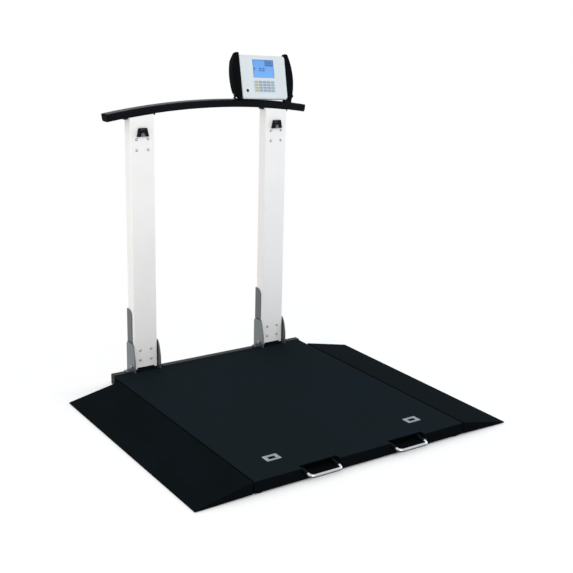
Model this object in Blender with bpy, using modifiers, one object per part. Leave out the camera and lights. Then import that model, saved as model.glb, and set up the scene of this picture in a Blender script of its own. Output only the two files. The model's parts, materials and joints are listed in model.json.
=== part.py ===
# A portable wheelchair scale with a fold-down handrail: a low platform with two side ramps,
# two posts that fold forward on pins, an arched handrail and a weight display on top.
# Metres, +Z up. While it is built, x = 0 is the middle, y = 0 the front edge of the deck
# and z = 0 the floor; the last lines centre the whole model over its footprint.

import math

import bmesh
import bpy
import numpy as np
from mathutils import Matrix, Vector

# Clearances
SEAT = 0.0003  # between two pieces that rest on each other
RUN = 0.0003  # around a pin or slide, on each side
OVER = 0.010  # how far a cutter reaches past what it cuts
WELD = 0.001  # how far welded shapes sink into each other

# Deck
DECK_WIDTH = 0.813
DECK_DEPTH = 0.958
DECK_TOP = 0.0455
DECK_SHEET = 0.004
SKIRT_SHEET = 0.003
SKIRT_BOTTOM = 0.006
DECK_EDGE_RADIUS = 0.002
RIB_COUNT = 5
RIB_FIRST_Y = 0.190
RIB_LAST_MARGIN = 0.188
RIB_WIDTH = 0.050
RIB_HEIGHT = 0.020
RIB_FLANGE = 0.012
RIB_SHEET = 0.0025
RIB_END_GAP = 0.008

# Ramps
RAMP_RUN = 0.1905
RAMP_SETBACK = 0.051
RAMP_SEAM = 0.0055
RAMP_SHEET = 0.004
RAMP_WALL = 0.003
RAMP_TIP = 0.0035
RAMP_FLOOR_GAP = 0.002
RAMP_LIP = 0.022
RAMP_BAYS = 3
RAMP_BOLT_Z = 0.020
RAMP_BOLT_RADIUS = 0.003
RAMP_BOLT_HEAD = 0.005
RAMP_BOLT_HEAD_HEIGHT = 0.003
RAMP_BOLT_MARGIN = 0.200
SEAL_HEIGHT = 0.011
SEAL_SINK = 0.0045

# Feet and load cells
FOOT_INSET = 0.0235
FOOT_FRONT_Y = 0.030
FOOT_REAR_MARGIN = 0.033
FOOT_RADIUS = 0.025
FOOT_RIM_GAP = 0.0008
FOOT_HEIGHT = 0.0085
FOOT_NECK = 0.012
FOOT_STEM_RADIUS = 0.005
FOOT_STEM_TOP = 0.034
CELL_LENGTH = 0.130
CELL_WIDTH = 0.030
CELL_HEIGHT = 0.020
CELL_BOTTOM = 0.0155
CELL_FOOT_MARGIN = 0.015
CELL_WINDOW_RADIUS = 0.006
CELL_WINDOW_SPAN = 0.030
CELL_PAD_LENGTH = 0.044
CELL_BOLT_RADIUS = 0.004
CELL_BOLT_HEAD = 0.0065
CELL_BOLT_HEAD_HEIGHT = 0.0038
CELL_BOLT_PITCH = 0.022
CELL_BOLT_REACH = 0.005
BOX_WIDTH = 0.100
BOX_HEIGHT = 0.022
BOX_SIDE_GAP = 0.0045

# Keepers that the folded posts latch into
KEEPER_Y = 0.1083
KEEPER_WIDTH = 0.052
KEEPER_DEPTH = 0.037
KEEPER_SHEET = 0.002
KEEPER_CORNER = 0.003
KEEPER_SLOT_WIDTH = 0.025
KEEPER_SLOT_DEPTH = 0.015
KEEPER_CUTOUT_WIDTH = 0.034
KEEPER_CUTOUT_DEPTH = 0.028

# Pull handles
HANDLE_INSET = 0.2365
HANDLE_WIDTH = 0.127
HANDLE_ROD_RADIUS = 0.0055
HANDLE_PIVOT_Y = 0.028
HANDLE_PIVOT_Z = 0.0345
HANDLE_REACH = 0.0605
HANDLE_DROOP = math.radians(7.1)
HANDLE_CORNER = 0.016
HANDLE_ELBOW = 0.007
POCKET_WIDTH = 0.140
POCKET_NOTCH = 0.020
POCKET_BACK = 0.040
POCKET_SHEET = 0.002
POCKET_FLOOR = 0.020

# Rear beam and transport wheels
BEAM_GAP = 0.0005
BEAM_DEPTH = 0.028
BEAM_BOTTOM = 0.0105
BEAM_TOP = 0.0495
BEAM_WALL = 0.003
BEAM_RADIUS = 0.004
BEAM_NOTCH_LEFT = 0.0545
BEAM_NOTCH_RIGHT = 0.072
BEAM_NOTCH_FLOOR = 0.0305
WHEEL_RADIUS = 0.017
WHEEL_WIDTH = 0.020
WHEEL_SIDE_GAP = 0.002
WHEEL_TOP_GAP = 0.0015
WHEEL_HUB_RADIUS = 0.0085
WHEEL_OVERHANG = 0.0025
WHEEL_FLOOR_GAP = 0.004
AXLE_RADIUS = 0.004

# Posts
POST_INSET = 0.1295
POST_WIDTH = 0.092
POST_DEPTH = 0.046
POST_WALL = 0.0025
POST_RADIUS = 0.003
POST_SETBACK = 0.0045
POST_BOTTOM = 0.0543
POST_NOTCH_WIDTH = 0.070
POST_NOTCH_TOP = 0.060
POST_SCREW_X = 0.022
POST_SCREWS_UP = (0.126, 0.088)
POST_SCREWS_DOWN = (0.1092, 0.1472)
POST_SCREW_HEAD = 0.0045
POST_SCREW_HEAD_HEIGHT = 0.0018

# Fold hinge and its brackets
HINGE_SETBACK = 0.0085
HINGE_Z = 0.066
HINGE_PIN_RADIUS = 0.004
HINGE_HEAD_RADIUS = 0.0068
HINGE_HEAD_HEIGHT = 0.004
HINGE_CLIP_RADIUS = 0.0055
HINGE_CLIP_WIDTH = 0.0015
HINGE_FOOT_TOP = 0.150
HINGE_FOOT_WALL = 0.006
CHANNEL_SETBACK = 0.012
CHANNEL_TOP = 0.280
CHANNEL_SHEET = 0.003
CHANNEL_CORNER = 0.024
GUSSET_SHEET = 0.004
GUSSET_REACH = 0.015
GUSSET_FRONT_BOTTOM = 0.048
GUSSET_TOP = 0.155
GUSSET_SHOULDER_REACH = 0.012
GUSSET_SHOULDER_Z = 0.100
GUSSET_CROWN_SETBACK = 0.0165
GUSSET_CROWN_REACH = 0.0015
GUSSET_REAR_CHAMFER = 0.008
BASE_SHEET = 0.004
LUG_LENGTH = 0.026
LUG_DEPTH = 0.022
BRACKET_BOLT_RADIUS = 0.004
BRACKET_BOLT_HEAD = 0.0068
BRACKET_BOLT_HEAD_HEIGHT = 0.005
BRACKET_BOLT_X = 0.030
BRACKET_BOLT_DEPTH = 0.012
LOCK_Z = 0.131
LOCK_PIN_RADIUS = 0.004
LOCK_TRAVEL = 0.006
LOCK_TIP_GAP = 0.0006
LOCK_SLEEVE_RADIUS = 0.0065
LOCK_SLEEVE_LENGTH = 0.004
LOCK_KNOB_RADIUS = 0.0075
LOCK_KNOB_LENGTH = 0.007

# Handrail
RAIL_RADIUS = 2.58
RAIL_PAST_DECK = 0.0512
RAIL_HEIGHT = 0.027
RAIL_DEPTH = 0.047
RAIL_CORNER = 0.006
RAIL_WALL = 0.002
RAIL_STEPS = 18
RAIL_CAP = 0.003
RAIL_PLUG = 0.012
SADDLE_REACH = 0.013
SADDLE_SHEET = 0.006
SADDLE_DEPTH = 0.016
SADDLE_PLUG_WALL = 0.003
SADDLE_PLUG_WIDTH = 0.070
SADDLE_PLUG_DROP = 0.1592

# Latches on the posts
LATCH_TOP_WIDTH = 0.031
LATCH_FOOT_WIDTH = 0.044
LATCH_DROP = 0.0707
LATCH_HEIGHT = 0.0295
LATCH_DEPTH = 0.0085
LATCH_FACE = 0.0025
LATCH_LEG_GAP = 0.020
LATCH_THROAT = 0.012
LATCH_TRAVEL = 0.0045
LATCH_TONGUE_WIDTH = 0.018
LATCH_TONGUE_REACH = 0.0088
LATCH_TONGUE_TOE = 0.0025
LATCH_TONGUE_BELOW = 0.003
LATCH_TONGUE_ABOVE = 0.001
LATCH_TOE_LENGTH = 0.005
LATCH_TAB_HEIGHT = 0.009

# Display, in its own frame: x right and z up in its face, y into the housing
DISPLAY_INSET = 0.0485
DISPLAY_SETBACK = 0.014
DISPLAY_RISE = 0.0841
DISPLAY_TILT = math.radians(16.6)
DISPLAY_WIDTH = 0.200
DISPLAY_HEIGHT = 0.161
DISPLAY_DEPTH = 0.034
DISPLAY_SPLIT = 0.008
DISPLAY_WALL = 0.0025
DISPLAY_CORNER = 0.008
DISPLAY_BACK_LOW = -0.055
DISPLAY_BACK_HIGH = 0.062
DISPLAY_TOP_DEPTH = 0.018
BUMPER_WIDTH = 0.0307
BUMPER_TOP = 0.089
BUMPER_BOTTOM = -0.085
BUMPER_END = 0.014
BUMPER_PROUD = 0.001
BUMPER_BOTTOM_DEPTH = 0.006
SCREEN_LEFT_MARGIN = 0.0556
SCREEN_RIGHT_MARGIN = 0.0538
SCREEN_LOW = -0.0025
SCREEN_HIGH = 0.0636
SCREEN_SHEET = 0.002
MODULE_BORDER = 0.0055
MODULE_DEPTH = 0.0072
BOARD_SHEET = 0.0016
BOARD_MARGIN = 0.012
BOARD_LOW = -0.060
BOARD_HIGH = 0.058
BOSS_RADIUS = 0.0035
BOSS_MARGIN = 0.012
BOSS_HIGH = 0.050
BOSS_LOW = -0.040
BATTERY_DEPTH = 0.0165
BATTERY_HEIGHT = 0.062
BATTERY_BOSS_GAP = 0.020
KEYPAD_MARGIN = 0.055
KEYPAD_LOW = -0.0567
KEYPAD_HIGH = -0.0126
KEYPAD_SHEET = 0.0006
KEY_COLUMNS = 5
KEY_ROWS = 4
KEY_GAP = 0.003
KEY_PROUD = 0.0005
BUTTON_MARGIN = 0.024
BUTTON_Z = -0.051
BUTTON_RADIUS = 0.005
BUTTON_PROUD = 0.0014
BUTTON_TRAVEL = 0.001
TILT_Y = 0.012
TILT_Z = -0.066
TILT_SCREW_RADIUS = 0.003
TILT_SCREW_HEAD = 0.006
TILT_SCREW_HEAD_HEIGHT = 0.0025
YOKE_SHEET = 0.003
YOKE_EAR_RADIUS = 0.007
YOKE_BEND = 0.012
YOKE_SETBACK = 0.001
YOKE_DEPTH = 0.016
YOKE_TOUCH_INSET = 0.088

# Places that follow from the sizes above
DECK_UNDER = DECK_TOP - DECK_SHEET
SKIRT_INSIDE = DECK_WIDTH / 2 - SKIRT_SHEET
KEEPER_BOTTOM = DECK_TOP - KEEPER_SHEET
RIB_PITCH = (DECK_DEPTH - RIB_FIRST_Y - RIB_LAST_MARGIN) / (RIB_COUNT - 1)
HANDLE_X = DECK_WIDTH / 2 - HANDLE_INSET
RAMP_LENGTH = DECK_DEPTH - RAMP_SETBACK
RAMP_INSIDE = DECK_WIDTH / 2 + RAMP_SEAM
RAMP_OUTSIDE = RAMP_INSIDE + RAMP_RUN
RAMP_BOLT_Y = np.linspace(RAMP_BOLT_MARGIN, RAMP_LENGTH - RAMP_BOLT_MARGIN, 3)
FOOT_X = DECK_WIDTH / 2 - FOOT_INSET
FOOT_REAR_Y = DECK_DEPTH - FOOT_REAR_MARGIN
CELL_TOP = CELL_BOTTOM + CELL_HEIGHT
CELL_FIXED = CELL_LENGTH - CELL_FOOT_MARGIN - CELL_PAD_LENGTH / 2
BEAM_FRONT = DECK_DEPTH + BEAM_GAP
BEAM_REAR = BEAM_FRONT + BEAM_DEPTH
WHEEL_X = DECK_WIDTH / 2 - BEAM_WALL - WHEEL_SIDE_GAP - WHEEL_WIDTH / 2
WHEEL_Y = BEAM_REAR + WHEEL_OVERHANG - WHEEL_RADIUS
WHEEL_Z = WHEEL_FLOOR_GAP + WHEEL_RADIUS
# the folded posts lie along the deck, so their height follows its depth
RAIL_PEAK = DECK_DEPTH + RAIL_PAST_DECK
RAIL_LENGTH = DECK_WIDTH
RAIL_CENTRE_Z = RAIL_PEAK - RAIL_RADIUS
POST_X = DECK_WIDTH / 2 - POST_INSET
POST_FRONT = BEAM_FRONT + POST_SETBACK
POST_REAR = POST_FRONT + POST_DEPTH
POST_MIDDLE = POST_FRONT + POST_DEPTH / 2
POST_SCREW_LEVELS = (*POST_SCREWS_UP, *(RAIL_PEAK - drop for drop in POST_SCREWS_DOWN))
HINGE_Y = POST_FRONT + HINGE_SETBACK
SADDLE_PLUG_BOTTOM = RAIL_PEAK - SADDLE_PLUG_DROP
LATCH_TOP = RAIL_PEAK - LATCH_DROP
LATCH_BOTTOM = LATCH_TOP - LATCH_HEIGHT
CHANNEL_FRONT = POST_FRONT + CHANNEL_SETBACK
CHANNEL_INSIDE = POST_WIDTH / 2 + RUN
CHANNEL_OUTSIDE = CHANNEL_INSIDE + CHANNEL_SHEET
CHANNEL_WEB = POST_REAR + RUN
CHANNEL_REAR = CHANNEL_WEB + CHANNEL_SHEET
GUSSET_INSIDE = CHANNEL_OUTSIDE + SEAT
GUSSET_OUTSIDE = GUSSET_INSIDE + GUSSET_SHEET
GUSSET_FRONT = BEAM_FRONT - GUSSET_REACH
GUSSET_SHOULDER = (BEAM_FRONT - GUSSET_SHOULDER_REACH, GUSSET_SHOULDER_Z)
GUSSET_CROWN = (BEAM_FRONT + GUSSET_CROWN_SETBACK, GUSSET_TOP)
GUSSET_CROWN_PULL = (BEAM_FRONT - GUSSET_CROWN_REACH, GUSSET_TOP)
BASE_BOTTOM = BEAM_NOTCH_FLOOR + SEAT
BASE_TOP = BASE_BOTTOM + BASE_SHEET
LUG_BOTTOM = BEAM_TOP + SEAT
LUG_X = -(GUSSET_OUTSIDE + LUG_LENGTH / 2)
LUG_Y = BEAM_FRONT + BEAM_DEPTH / 2
TONGUE_Z = HINGE_Y + HINGE_Z - KEEPER_Y
# the display leans sideways with the rail where its bracket touches it
DISPLAY_X = POST_X - DISPLAY_INSET
RAIL_TOP_RADIUS = RAIL_RADIUS + RAIL_HEIGHT / 2
DISPLAY_ROLL = math.asin((DISPLAY_X - YOKE_TOUCH_INSET) / RAIL_TOP_RADIUS)
DISPLAY_FACE = (
    DISPLAY_X,
    POST_FRONT + DISPLAY_SETBACK,
    RAIL_CENTRE_Z + math.sqrt(RAIL_TOP_RADIUS**2 - DISPLAY_X**2) + DISPLAY_RISE,
)
TILT_PLACE = Vector(DISPLAY_FACE) + (
    Matrix.Rotation(DISPLAY_ROLL, 3, "Y")
    @ Matrix.Rotation(-DISPLAY_TILT, 3, "X")
    @ Vector((0, TILT_Y, TILT_Z))
)
SCREEN_LEFT = SCREEN_LEFT_MARGIN - DISPLAY_WIDTH / 2
SCREEN_RIGHT = DISPLAY_WIDTH / 2 - SCREEN_RIGHT_MARGIN
KEYPAD_HALF_WIDTH = DISPLAY_WIDTH / 2 - KEYPAD_MARGIN
BUTTON_X = BUTTON_MARGIN - DISPLAY_WIDTH / 2
BOARD_HALF_WIDTH = DISPLAY_WIDTH / 2 - BOARD_MARGIN
BOSS_X = BOARD_HALF_WIDTH - BOSS_MARGIN
BATTERY_HALF_WIDTH = BOSS_X - BATTERY_BOSS_GAP
BUMPER_INSIDE = DISPLAY_WIDTH / 2 + SEAT
BUMPER_HALF_WIDTH = BUMPER_INSIDE + BUMPER_WIDTH
BUMPER_HALF_CHORD = (BUMPER_TOP - BUMPER_BOTTOM) / 2
BUMPER_RISE = BUMPER_WIDTH - BUMPER_END
BUMPER_BOW = (BUMPER_HALF_CHORD**2 + BUMPER_RISE**2) / (2 * BUMPER_RISE)
BUMPER_MIDDLE = (BUMPER_TOP + BUMPER_BOTTOM) / 2
SIDES = ((-1, "left"), (1, "right"))


def clear_scene():
    for old in list(bpy.data.objects):
        bpy.data.objects.remove(old, do_unlink=True)


def new_collection(name):
    collection = bpy.data.collections.new(name)
    bpy.context.scene.collection.children.link(collection)
    return collection


clear_scene()
PARTS = new_collection("handrail_scale")
CUTTERS = new_collection("cutters")
GUIDES = new_collection("axes")


# Finishes: colour as seen (sRGB, 0 to 255), roughness, metallic
FINISHES = {
    "deck_coat": ((27, 33, 38), 0.75, 0.0),
    "ramp_coat": ((26, 32, 38), 0.75, 0.0),
    "black_coat": ((14, 16, 18), 0.55, 0.0),
    "rail_skin": ((30, 34, 37), 0.60, 0.0),
    "white_coat": ((226, 228, 230), 0.45, 0.0),
    "grey_coat": ((96, 101, 104), 0.45, 0.3),
    "light_grey_coat": ((122, 126, 128), 0.45, 0.3),
    "bright_steel": ((200, 202, 204), 0.25, 1.0),
    "zinc": ((150, 152, 154), 0.40, 1.0),
    "aluminium": ((186, 188, 190), 0.40, 1.0),
    "black_rubber": ((18, 18, 19), 0.85, 0.0),
    "black_plastic": ((14, 15, 16), 0.50, 0.0),
    "white_plastic": ((226, 235, 240), 0.40, 0.0),
    "screen_blue": ((105, 165, 250), 0.15, 0.0),
    "keypad_grey": ((176, 190, 204), 0.45, 0.0),
    "board_green": ((20, 84, 50), 0.50, 0.0),
}


def linear(level):
    share = level / 255
    if share <= 0.04045:
        return share / 12.92
    return ((share + 0.055) / 1.055) ** 2.4


def paint(obj, finish):
    colour, roughness, metallic = FINISHES[finish]
    material = bpy.data.materials.new(f"{obj.name}_{finish}")
    material.use_nodes = True
    shader = material.node_tree.nodes["Principled BSDF"]
    shader.inputs["Base Color"].default_value = (*[linear(c) for c in colour], 1)
    shader.inputs["Roughness"].default_value = roughness
    shader.inputs["Metallic"].default_value = metallic
    obj.data.materials.clear()
    obj.data.materials.append(material)


def add_object(name, data, place=None):
    obj = bpy.data.objects.new(name, data)
    PARTS.objects.link(obj)
    if place is not None:
        obj.matrix_basis = place
    return obj


def mesh_from(name, bm, place=None):
    mesh = bpy.data.meshes.new(name)
    bm.to_mesh(mesh)
    bm.free()
    return add_object(name, mesh, place)


def block(name, low, high):
    """A box between two corners, with its origin in its middle."""
    low = Vector(low)
    high = Vector(high)
    bm = bmesh.new()
    bmesh.ops.create_cube(bm, size=1)
    bmesh.ops.scale(bm, vec=high - low, verts=bm.verts)
    return mesh_from(name, bm, Matrix.Translation((low + high) / 2))


def soften(obj, radius, segments, pick):
    """Round the edges whose midpoint, in the object's own frame, passes the test."""
    bm = bmesh.new()
    bm.from_mesh(obj.data)
    edges = [e for e in bm.edges if pick((e.verts[0].co + e.verts[1].co) / 2)]
    bmesh.ops.bevel(bm, geom=edges, offset=radius, segments=segments, profile=0.5, affect="EDGES")
    bm.to_mesh(obj.data)
    bm.free()


def arc(centre, radius, start, end, steps):
    """Points along a circle, angles in degrees."""
    angles = np.radians(np.linspace(start, end, steps + 1))
    return [(centre[0] + radius * math.cos(a), centre[1] + radius * math.sin(a)) for a in angles]


def rectangle(low, high):
    return [low, (high[0], low[1]), high, (low[0], high[1])]


def rounded(low, high, radius, steps=3):
    """The outline of a rectangle with round corners."""
    points = []
    for x, y, start in (
        (high[0] - radius, high[1] - radius, 0),
        (low[0] + radius, high[1] - radius, 90),
        (low[0] + radius, low[1] + radius, 180),
        (high[0] - radius, low[1] + radius, 270),
    ):
        points += arc((x, y), radius, start, start + 90, steps)
    return points


def bend(start, pull, end, steps):
    """A soft curve from start to end that leans towards pull."""
    shares = np.linspace(0, 1, steps + 1)
    start, pull, end = np.array(start), np.array(pull), np.array(end)
    return [tuple(start * (1 - t) ** 2 + pull * 2 * t * (1 - t) + end * t**2) for t in shares]


# How an outline's own x, y and depth lie in the world
FLAT = Matrix.Identity(4)
FACING_SIDE = Matrix.Rotation(math.pi / 2, 4, "Z") @ Matrix.Rotation(math.pi / 2, 4, "X")
FACING_FRONT = Matrix.Rotation(math.pi / 2, 4, "X")


def to_mesh(obj):
    """Turn a curve object into a welded mesh object in the same place."""
    bpy.context.view_layer.update()
    evaluated = obj.evaluated_get(bpy.context.evaluated_depsgraph_get())
    mesh = bpy.data.meshes.new_from_object(evaluated)
    bm = bmesh.new()
    bm.from_mesh(mesh)
    bmesh.ops.remove_doubles(bm, verts=bm.verts, dist=0.00001)
    bm.to_mesh(mesh)
    bm.free()
    name = obj.name
    place = obj.matrix_world.copy()
    bpy.data.objects.remove(obj)
    return add_object(name, mesh, place)


def plate(name, outline, low, high, facing, holes=()):
    """A flat outline with holes, given depth from low to high along the axis it faces."""
    curve = bpy.data.curves.new(name, "CURVE")
    curve.dimensions = "2D"
    curve.fill_mode = "BOTH"
    curve.extrude = (high - low) / 2
    for loop in (outline, *holes):
        spline = curve.splines.new("POLY")
        spline.points.add(len(loop) - 1)
        spline.points.foreach_set("co", [v for x, y in loop for v in (x, y, 0, 1)])
        spline.use_cyclic_u = True
    depth = facing.to_3x3() @ Vector((0, 0, 1))
    if facing == FACING_FRONT:
        depth = -depth
    place = Matrix.Translation(depth * (low + high) / 2) @ facing
    return to_mesh(add_object(name, curve, place))


def turned(name, profile, place, steps):
    """A profile of (radius, height) points, top to bottom, turned about its own z axis."""
    mesh = bpy.data.meshes.new(name)
    points = [(radius, 0, height) for radius, height in profile]
    mesh.from_pydata(points, [(i, i + 1) for i in range(len(points) - 1)], [])
    obj = add_object(name, mesh, place)
    screw = obj.modifiers.new("turn", "SCREW")
    screw.axis = "Z"
    screw.angle = 2 * math.pi
    screw.steps = steps
    screw.render_steps = steps
    screw.use_merge_vertices = True
    screw.merge_threshold = 0.00001
    screw.use_smooth_shade = False
    return obj


def ring(profile):
    """Close a turned profile on itself, for a piece with a bore."""
    return [*profile, profile[0]]


def rod(name, start, end, radius, sides=12):
    """A round bar between two points, with its origin in its middle."""
    start = Vector(start)
    end = Vector(end)
    bm = bmesh.new()
    length = (end - start).length
    bmesh.ops.create_cone(
        bm, cap_ends=True, segments=sides, radius1=radius, radius2=radius, depth=length
    )
    turn = (end - start).to_track_quat("Z", "Y").to_matrix().to_4x4()
    return mesh_from(name, bm, Matrix.Translation((start + end) / 2) @ turn)


def bent_rod(name, path, radius, place):
    """A bar bent along a path, as a curve with a round section and filled ends."""
    curve = bpy.data.curves.new(name, "CURVE")
    curve.dimensions = "3D"
    curve.bevel_depth = radius
    curve.bevel_resolution = 3
    curve.use_fill_caps = True
    spline = curve.splines.new("POLY")
    spline.points.add(len(path) - 1)
    spline.points.foreach_set("co", [v for point in path for v in (*point, 1)])
    return to_mesh(add_object(name, curve, place))


def boolean(obj, tool, operation):
    """Cut, join or trim an object with a tool that then rides on it."""
    modifier = obj.modifiers.new(f"{operation.lower()}_{tool.name}", "BOOLEAN")
    modifier.operation = operation
    modifier.solver = "EXACT"
    modifier.object = tool
    PARTS.objects.unlink(tool)
    CUTTERS.objects.link(tool)
    tool.hide_render = True
    tool.display_type = "WIRE"
    tool.parent = obj
    tool.matrix_parent_inverse = obj.matrix_basis.inverted()
    return obj


def cut(obj, *tools):
    for tool in tools:
        boolean(obj, tool, "DIFFERENCE")
    return obj


def weld(obj, *tools):
    for tool in tools:
        boolean(obj, tool, "UNION")
    return obj


def gather(name, pieces):
    """Put several finished pieces, such as like fasteners, into one object."""
    bpy.context.view_layer.update()
    depsgraph = bpy.context.evaluated_depsgraph_get()
    bm = bmesh.new()
    for piece in pieces:
        mesh = bpy.data.meshes.new_from_object(piece.evaluated_get(depsgraph))
        mesh.transform(piece.matrix_world)
        bm.from_mesh(mesh)
        bpy.data.meshes.remove(mesh)
        bpy.data.objects.remove(piece)
    return mesh_from(name, bm)


def axis_point(name, location, parent, rotation=None):
    """An empty on a joint's axis, which carries the pieces that move with it."""
    empty = bpy.data.objects.new(name, None)
    empty.empty_display_size = 0.05
    GUIDES.objects.link(empty)
    empty.parent = parent
    turn = Matrix.Identity(4) if rotation is None else rotation
    empty.matrix_basis = Matrix.Translation(location) @ turn
    return empty


def carry(carrier, finish, *pieces):
    """Paint pieces made in world places and let a carrier take them along."""
    bpy.context.view_layer.update()
    for piece in pieces:
        paint(piece, finish)
        piece.data.shade_smooth()
        piece.data.set_sharp_from_angle(angle=math.radians(32))
        piece.parent = carrier
        piece.matrix_parent_inverse = carrier.matrix_world.inverted()


def carry_local(carrier, finish, *pieces):
    """The same for pieces made in the carrier's own frame."""
    for piece in pieces:
        paint(piece, finish)
        piece.data.shade_smooth()
        piece.data.set_sharp_from_angle(angle=math.radians(32))
        piece.parent = carrier


def rail_height(x, offset):
    """Height of the rail's centre line at x, moved out along the arc's radius by offset."""
    return RAIL_CENTRE_Z + math.sqrt((RAIL_RADIUS + offset) ** 2 - x**2)


ORIGIN = axis_point("model_origin", (0, 0, 0), None)
FOLD = axis_point("fold_axis", (0, HINGE_Y, HINGE_Z), ORIGIN)
DISPLAY = axis_point(
    "display_frame",
    Vector(DISPLAY_FACE) - Vector((0, HINGE_Y, HINGE_Z)),
    FOLD,
    Matrix.Rotation(DISPLAY_ROLL, 4, "Y") @ Matrix.Rotation(-DISPLAY_TILT, 4, "X"),
)


# Deck: a folded tray with hat ribs, load cell pads, handle pockets and keeper cut-outs

def hat_outline(top):
    half = RIB_WIDTH / 2
    wide = half + RIB_FLANGE
    low = top - RIB_HEIGHT
    sheet = RIB_SHEET + WELD
    return [
        (-wide, top), (-wide, top - sheet), (-half, top - sheet), (-half, low),
        (half, low), (half, top - sheet), (wide, top - sheet), (wide, top),
        (half - RIB_SHEET, top), (half - RIB_SHEET, low + RIB_SHEET),
        (RIB_SHEET - half, low + RIB_SHEET), (RIB_SHEET - half, top),
    ]


def make_ribs():
    ribs = []
    length = SKIRT_INSIDE - RIB_END_GAP
    for index in range(RIB_COUNT):
        y = RIB_FIRST_Y + index * RIB_PITCH
        outline = [(y + u, v) for u, v in hat_outline(DECK_UNDER + WELD)]
        ribs.append(plate(f"rib_{index}", outline, -length, length, FACING_SIDE))
    return ribs


def cell_bolt_places(side, row):
    """The two bolts that hold one load cell's fixed end."""
    foot_y, inward = (FOOT_FRONT_Y, 1) if row == "front" else (FOOT_REAR_Y, -1)
    middle = foot_y + inward * CELL_FIXED
    return [(side * FOOT_X, middle + k * CELL_BOLT_PITCH / 2) for k in (-1, 1)]


def make_deck():
    deck = block(
        "deck_plate",
        (-DECK_WIDTH / 2, 0, SKIRT_BOTTOM),
        (DECK_WIDTH / 2, DECK_DEPTH, DECK_TOP),
    )
    half_depth = DECK_DEPTH / 2
    soften(deck, DECK_EDGE_RADIUS, 2, lambda p: p.z > 0 and p.y < half_depth - DECK_SHEET)
    cut(deck, block(
        "deck_hollow",
        (-SKIRT_INSIDE, SKIRT_SHEET, SKIRT_BOTTOM - OVER),
        (SKIRT_INSIDE, DECK_DEPTH + OVER, DECK_UNDER),
    ))
    weld(deck, *make_ribs())
    pads = []
    bolt_holes = []
    for side, _ in SIDES:
        for row in ("front", "rear"):
            places = cell_bolt_places(side, row)
            y = (places[0][1] + places[1][1]) / 2
            pads.append(block(
                "cell_pad",
                (side * FOOT_X - CELL_WIDTH / 2, y - CELL_PAD_LENGTH / 2, CELL_TOP + SEAT),
                (side * FOOT_X + CELL_WIDTH / 2, y + CELL_PAD_LENGTH / 2, DECK_UNDER + WELD),
            ))
            for x, hole_y in places:
                bolt_holes.append(rod(
                    "hole",
                    (x, hole_y, CELL_TOP - OVER),
                    (x, hole_y, CELL_TOP + CELL_BOLT_REACH + RUN),
                    CELL_BOLT_RADIUS + RUN,
                ))
    weld(deck, gather("cell_pads", pads))
    cut(deck, gather("cell_bolt_holes", bolt_holes))
    outer = []
    inner = []
    notches = []
    pivots = []
    for side, _ in SIDES:
        x = side * HANDLE_X
        half = POCKET_WIDTH / 2
        outer.append(block(
            "pocket",
            (x - half - POCKET_SHEET, SKIRT_SHEET - WELD, POCKET_FLOOR),
            (x + half + POCKET_SHEET, POCKET_BACK + POCKET_SHEET, DECK_UNDER + WELD),
        ))
        inner.append(block(
            "pocket_inside",
            (x - half, SKIRT_SHEET, POCKET_FLOOR + POCKET_SHEET),
            (x + half, POCKET_BACK, DECK_UNDER),
        ))
        notches.append(block(
            "notch",
            (x - half, -OVER, handle_stop_height()),
            (x + half, POCKET_NOTCH, DECK_TOP + OVER),
        ))
        pivots.append(rod(
            "pivot_hole",
            (x - half - OVER, HANDLE_PIVOT_Y, HANDLE_PIVOT_Z),
            (x + half + OVER, HANDLE_PIVOT_Y, HANDLE_PIVOT_Z),
            HANDLE_ROD_RADIUS + RUN,
        ))
    weld(deck, gather("pockets", outer))
    cut(deck, gather("pocket_insides", inner), gather("pocket_notches", notches))
    cut(deck, gather("pivot_holes", pivots))
    cutouts = []
    for side, _ in SIDES:
        cutouts.append(block(
            "cutout",
            (side * POST_X - KEEPER_CUTOUT_WIDTH / 2, KEEPER_Y - KEEPER_CUTOUT_DEPTH / 2, DECK_UNDER - OVER),
            (side * POST_X + KEEPER_CUTOUT_WIDTH / 2, KEEPER_Y + KEEPER_CUTOUT_DEPTH / 2, DECK_TOP + OVER),
        ))
    cut(deck, gather("keeper_cutouts", cutouts))
    recesses = []
    for side, _ in SIDES:
        outline = keeper_outline(side * POST_X, RUN)
        recesses.append(plate("recess", outline, KEEPER_BOTTOM - SEAT, DECK_TOP + OVER, FLAT))
    cut(deck, gather("keeper_recesses", recesses))
    cut(deck, ramp_stud_holes())
    carry(ORIGIN, "deck_coat", deck)


def handle_stop_height():
    """The skirt's cut edge, on which the drooping handle rests."""
    run = HANDLE_PIVOT_Y - SKIRT_SHEET / 2
    under = HANDLE_PIVOT_Z - run * math.tan(HANDLE_DROOP) - HANDLE_ROD_RADIUS / math.cos(HANDLE_DROOP)
    return under - SEAT


# Ramps with their studs, and the seals between them and the deck

def ramp_stud_holes():
    """Holes in the deck's skirts."""
    holes = []
    for side, _ in SIDES:
        for y in RAMP_BOLT_Y:
            holes.append(rod(
                "hole",
                (side * (SKIRT_INSIDE - WELD), y, RAMP_BOLT_Z),
                (side * (DECK_WIDTH / 2 + WELD), y, RAMP_BOLT_Z),
                RAMP_BOLT_RADIUS + 2 * RUN,
                8,
            ))
    return gather("ramp_stud_holes", holes)


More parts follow.
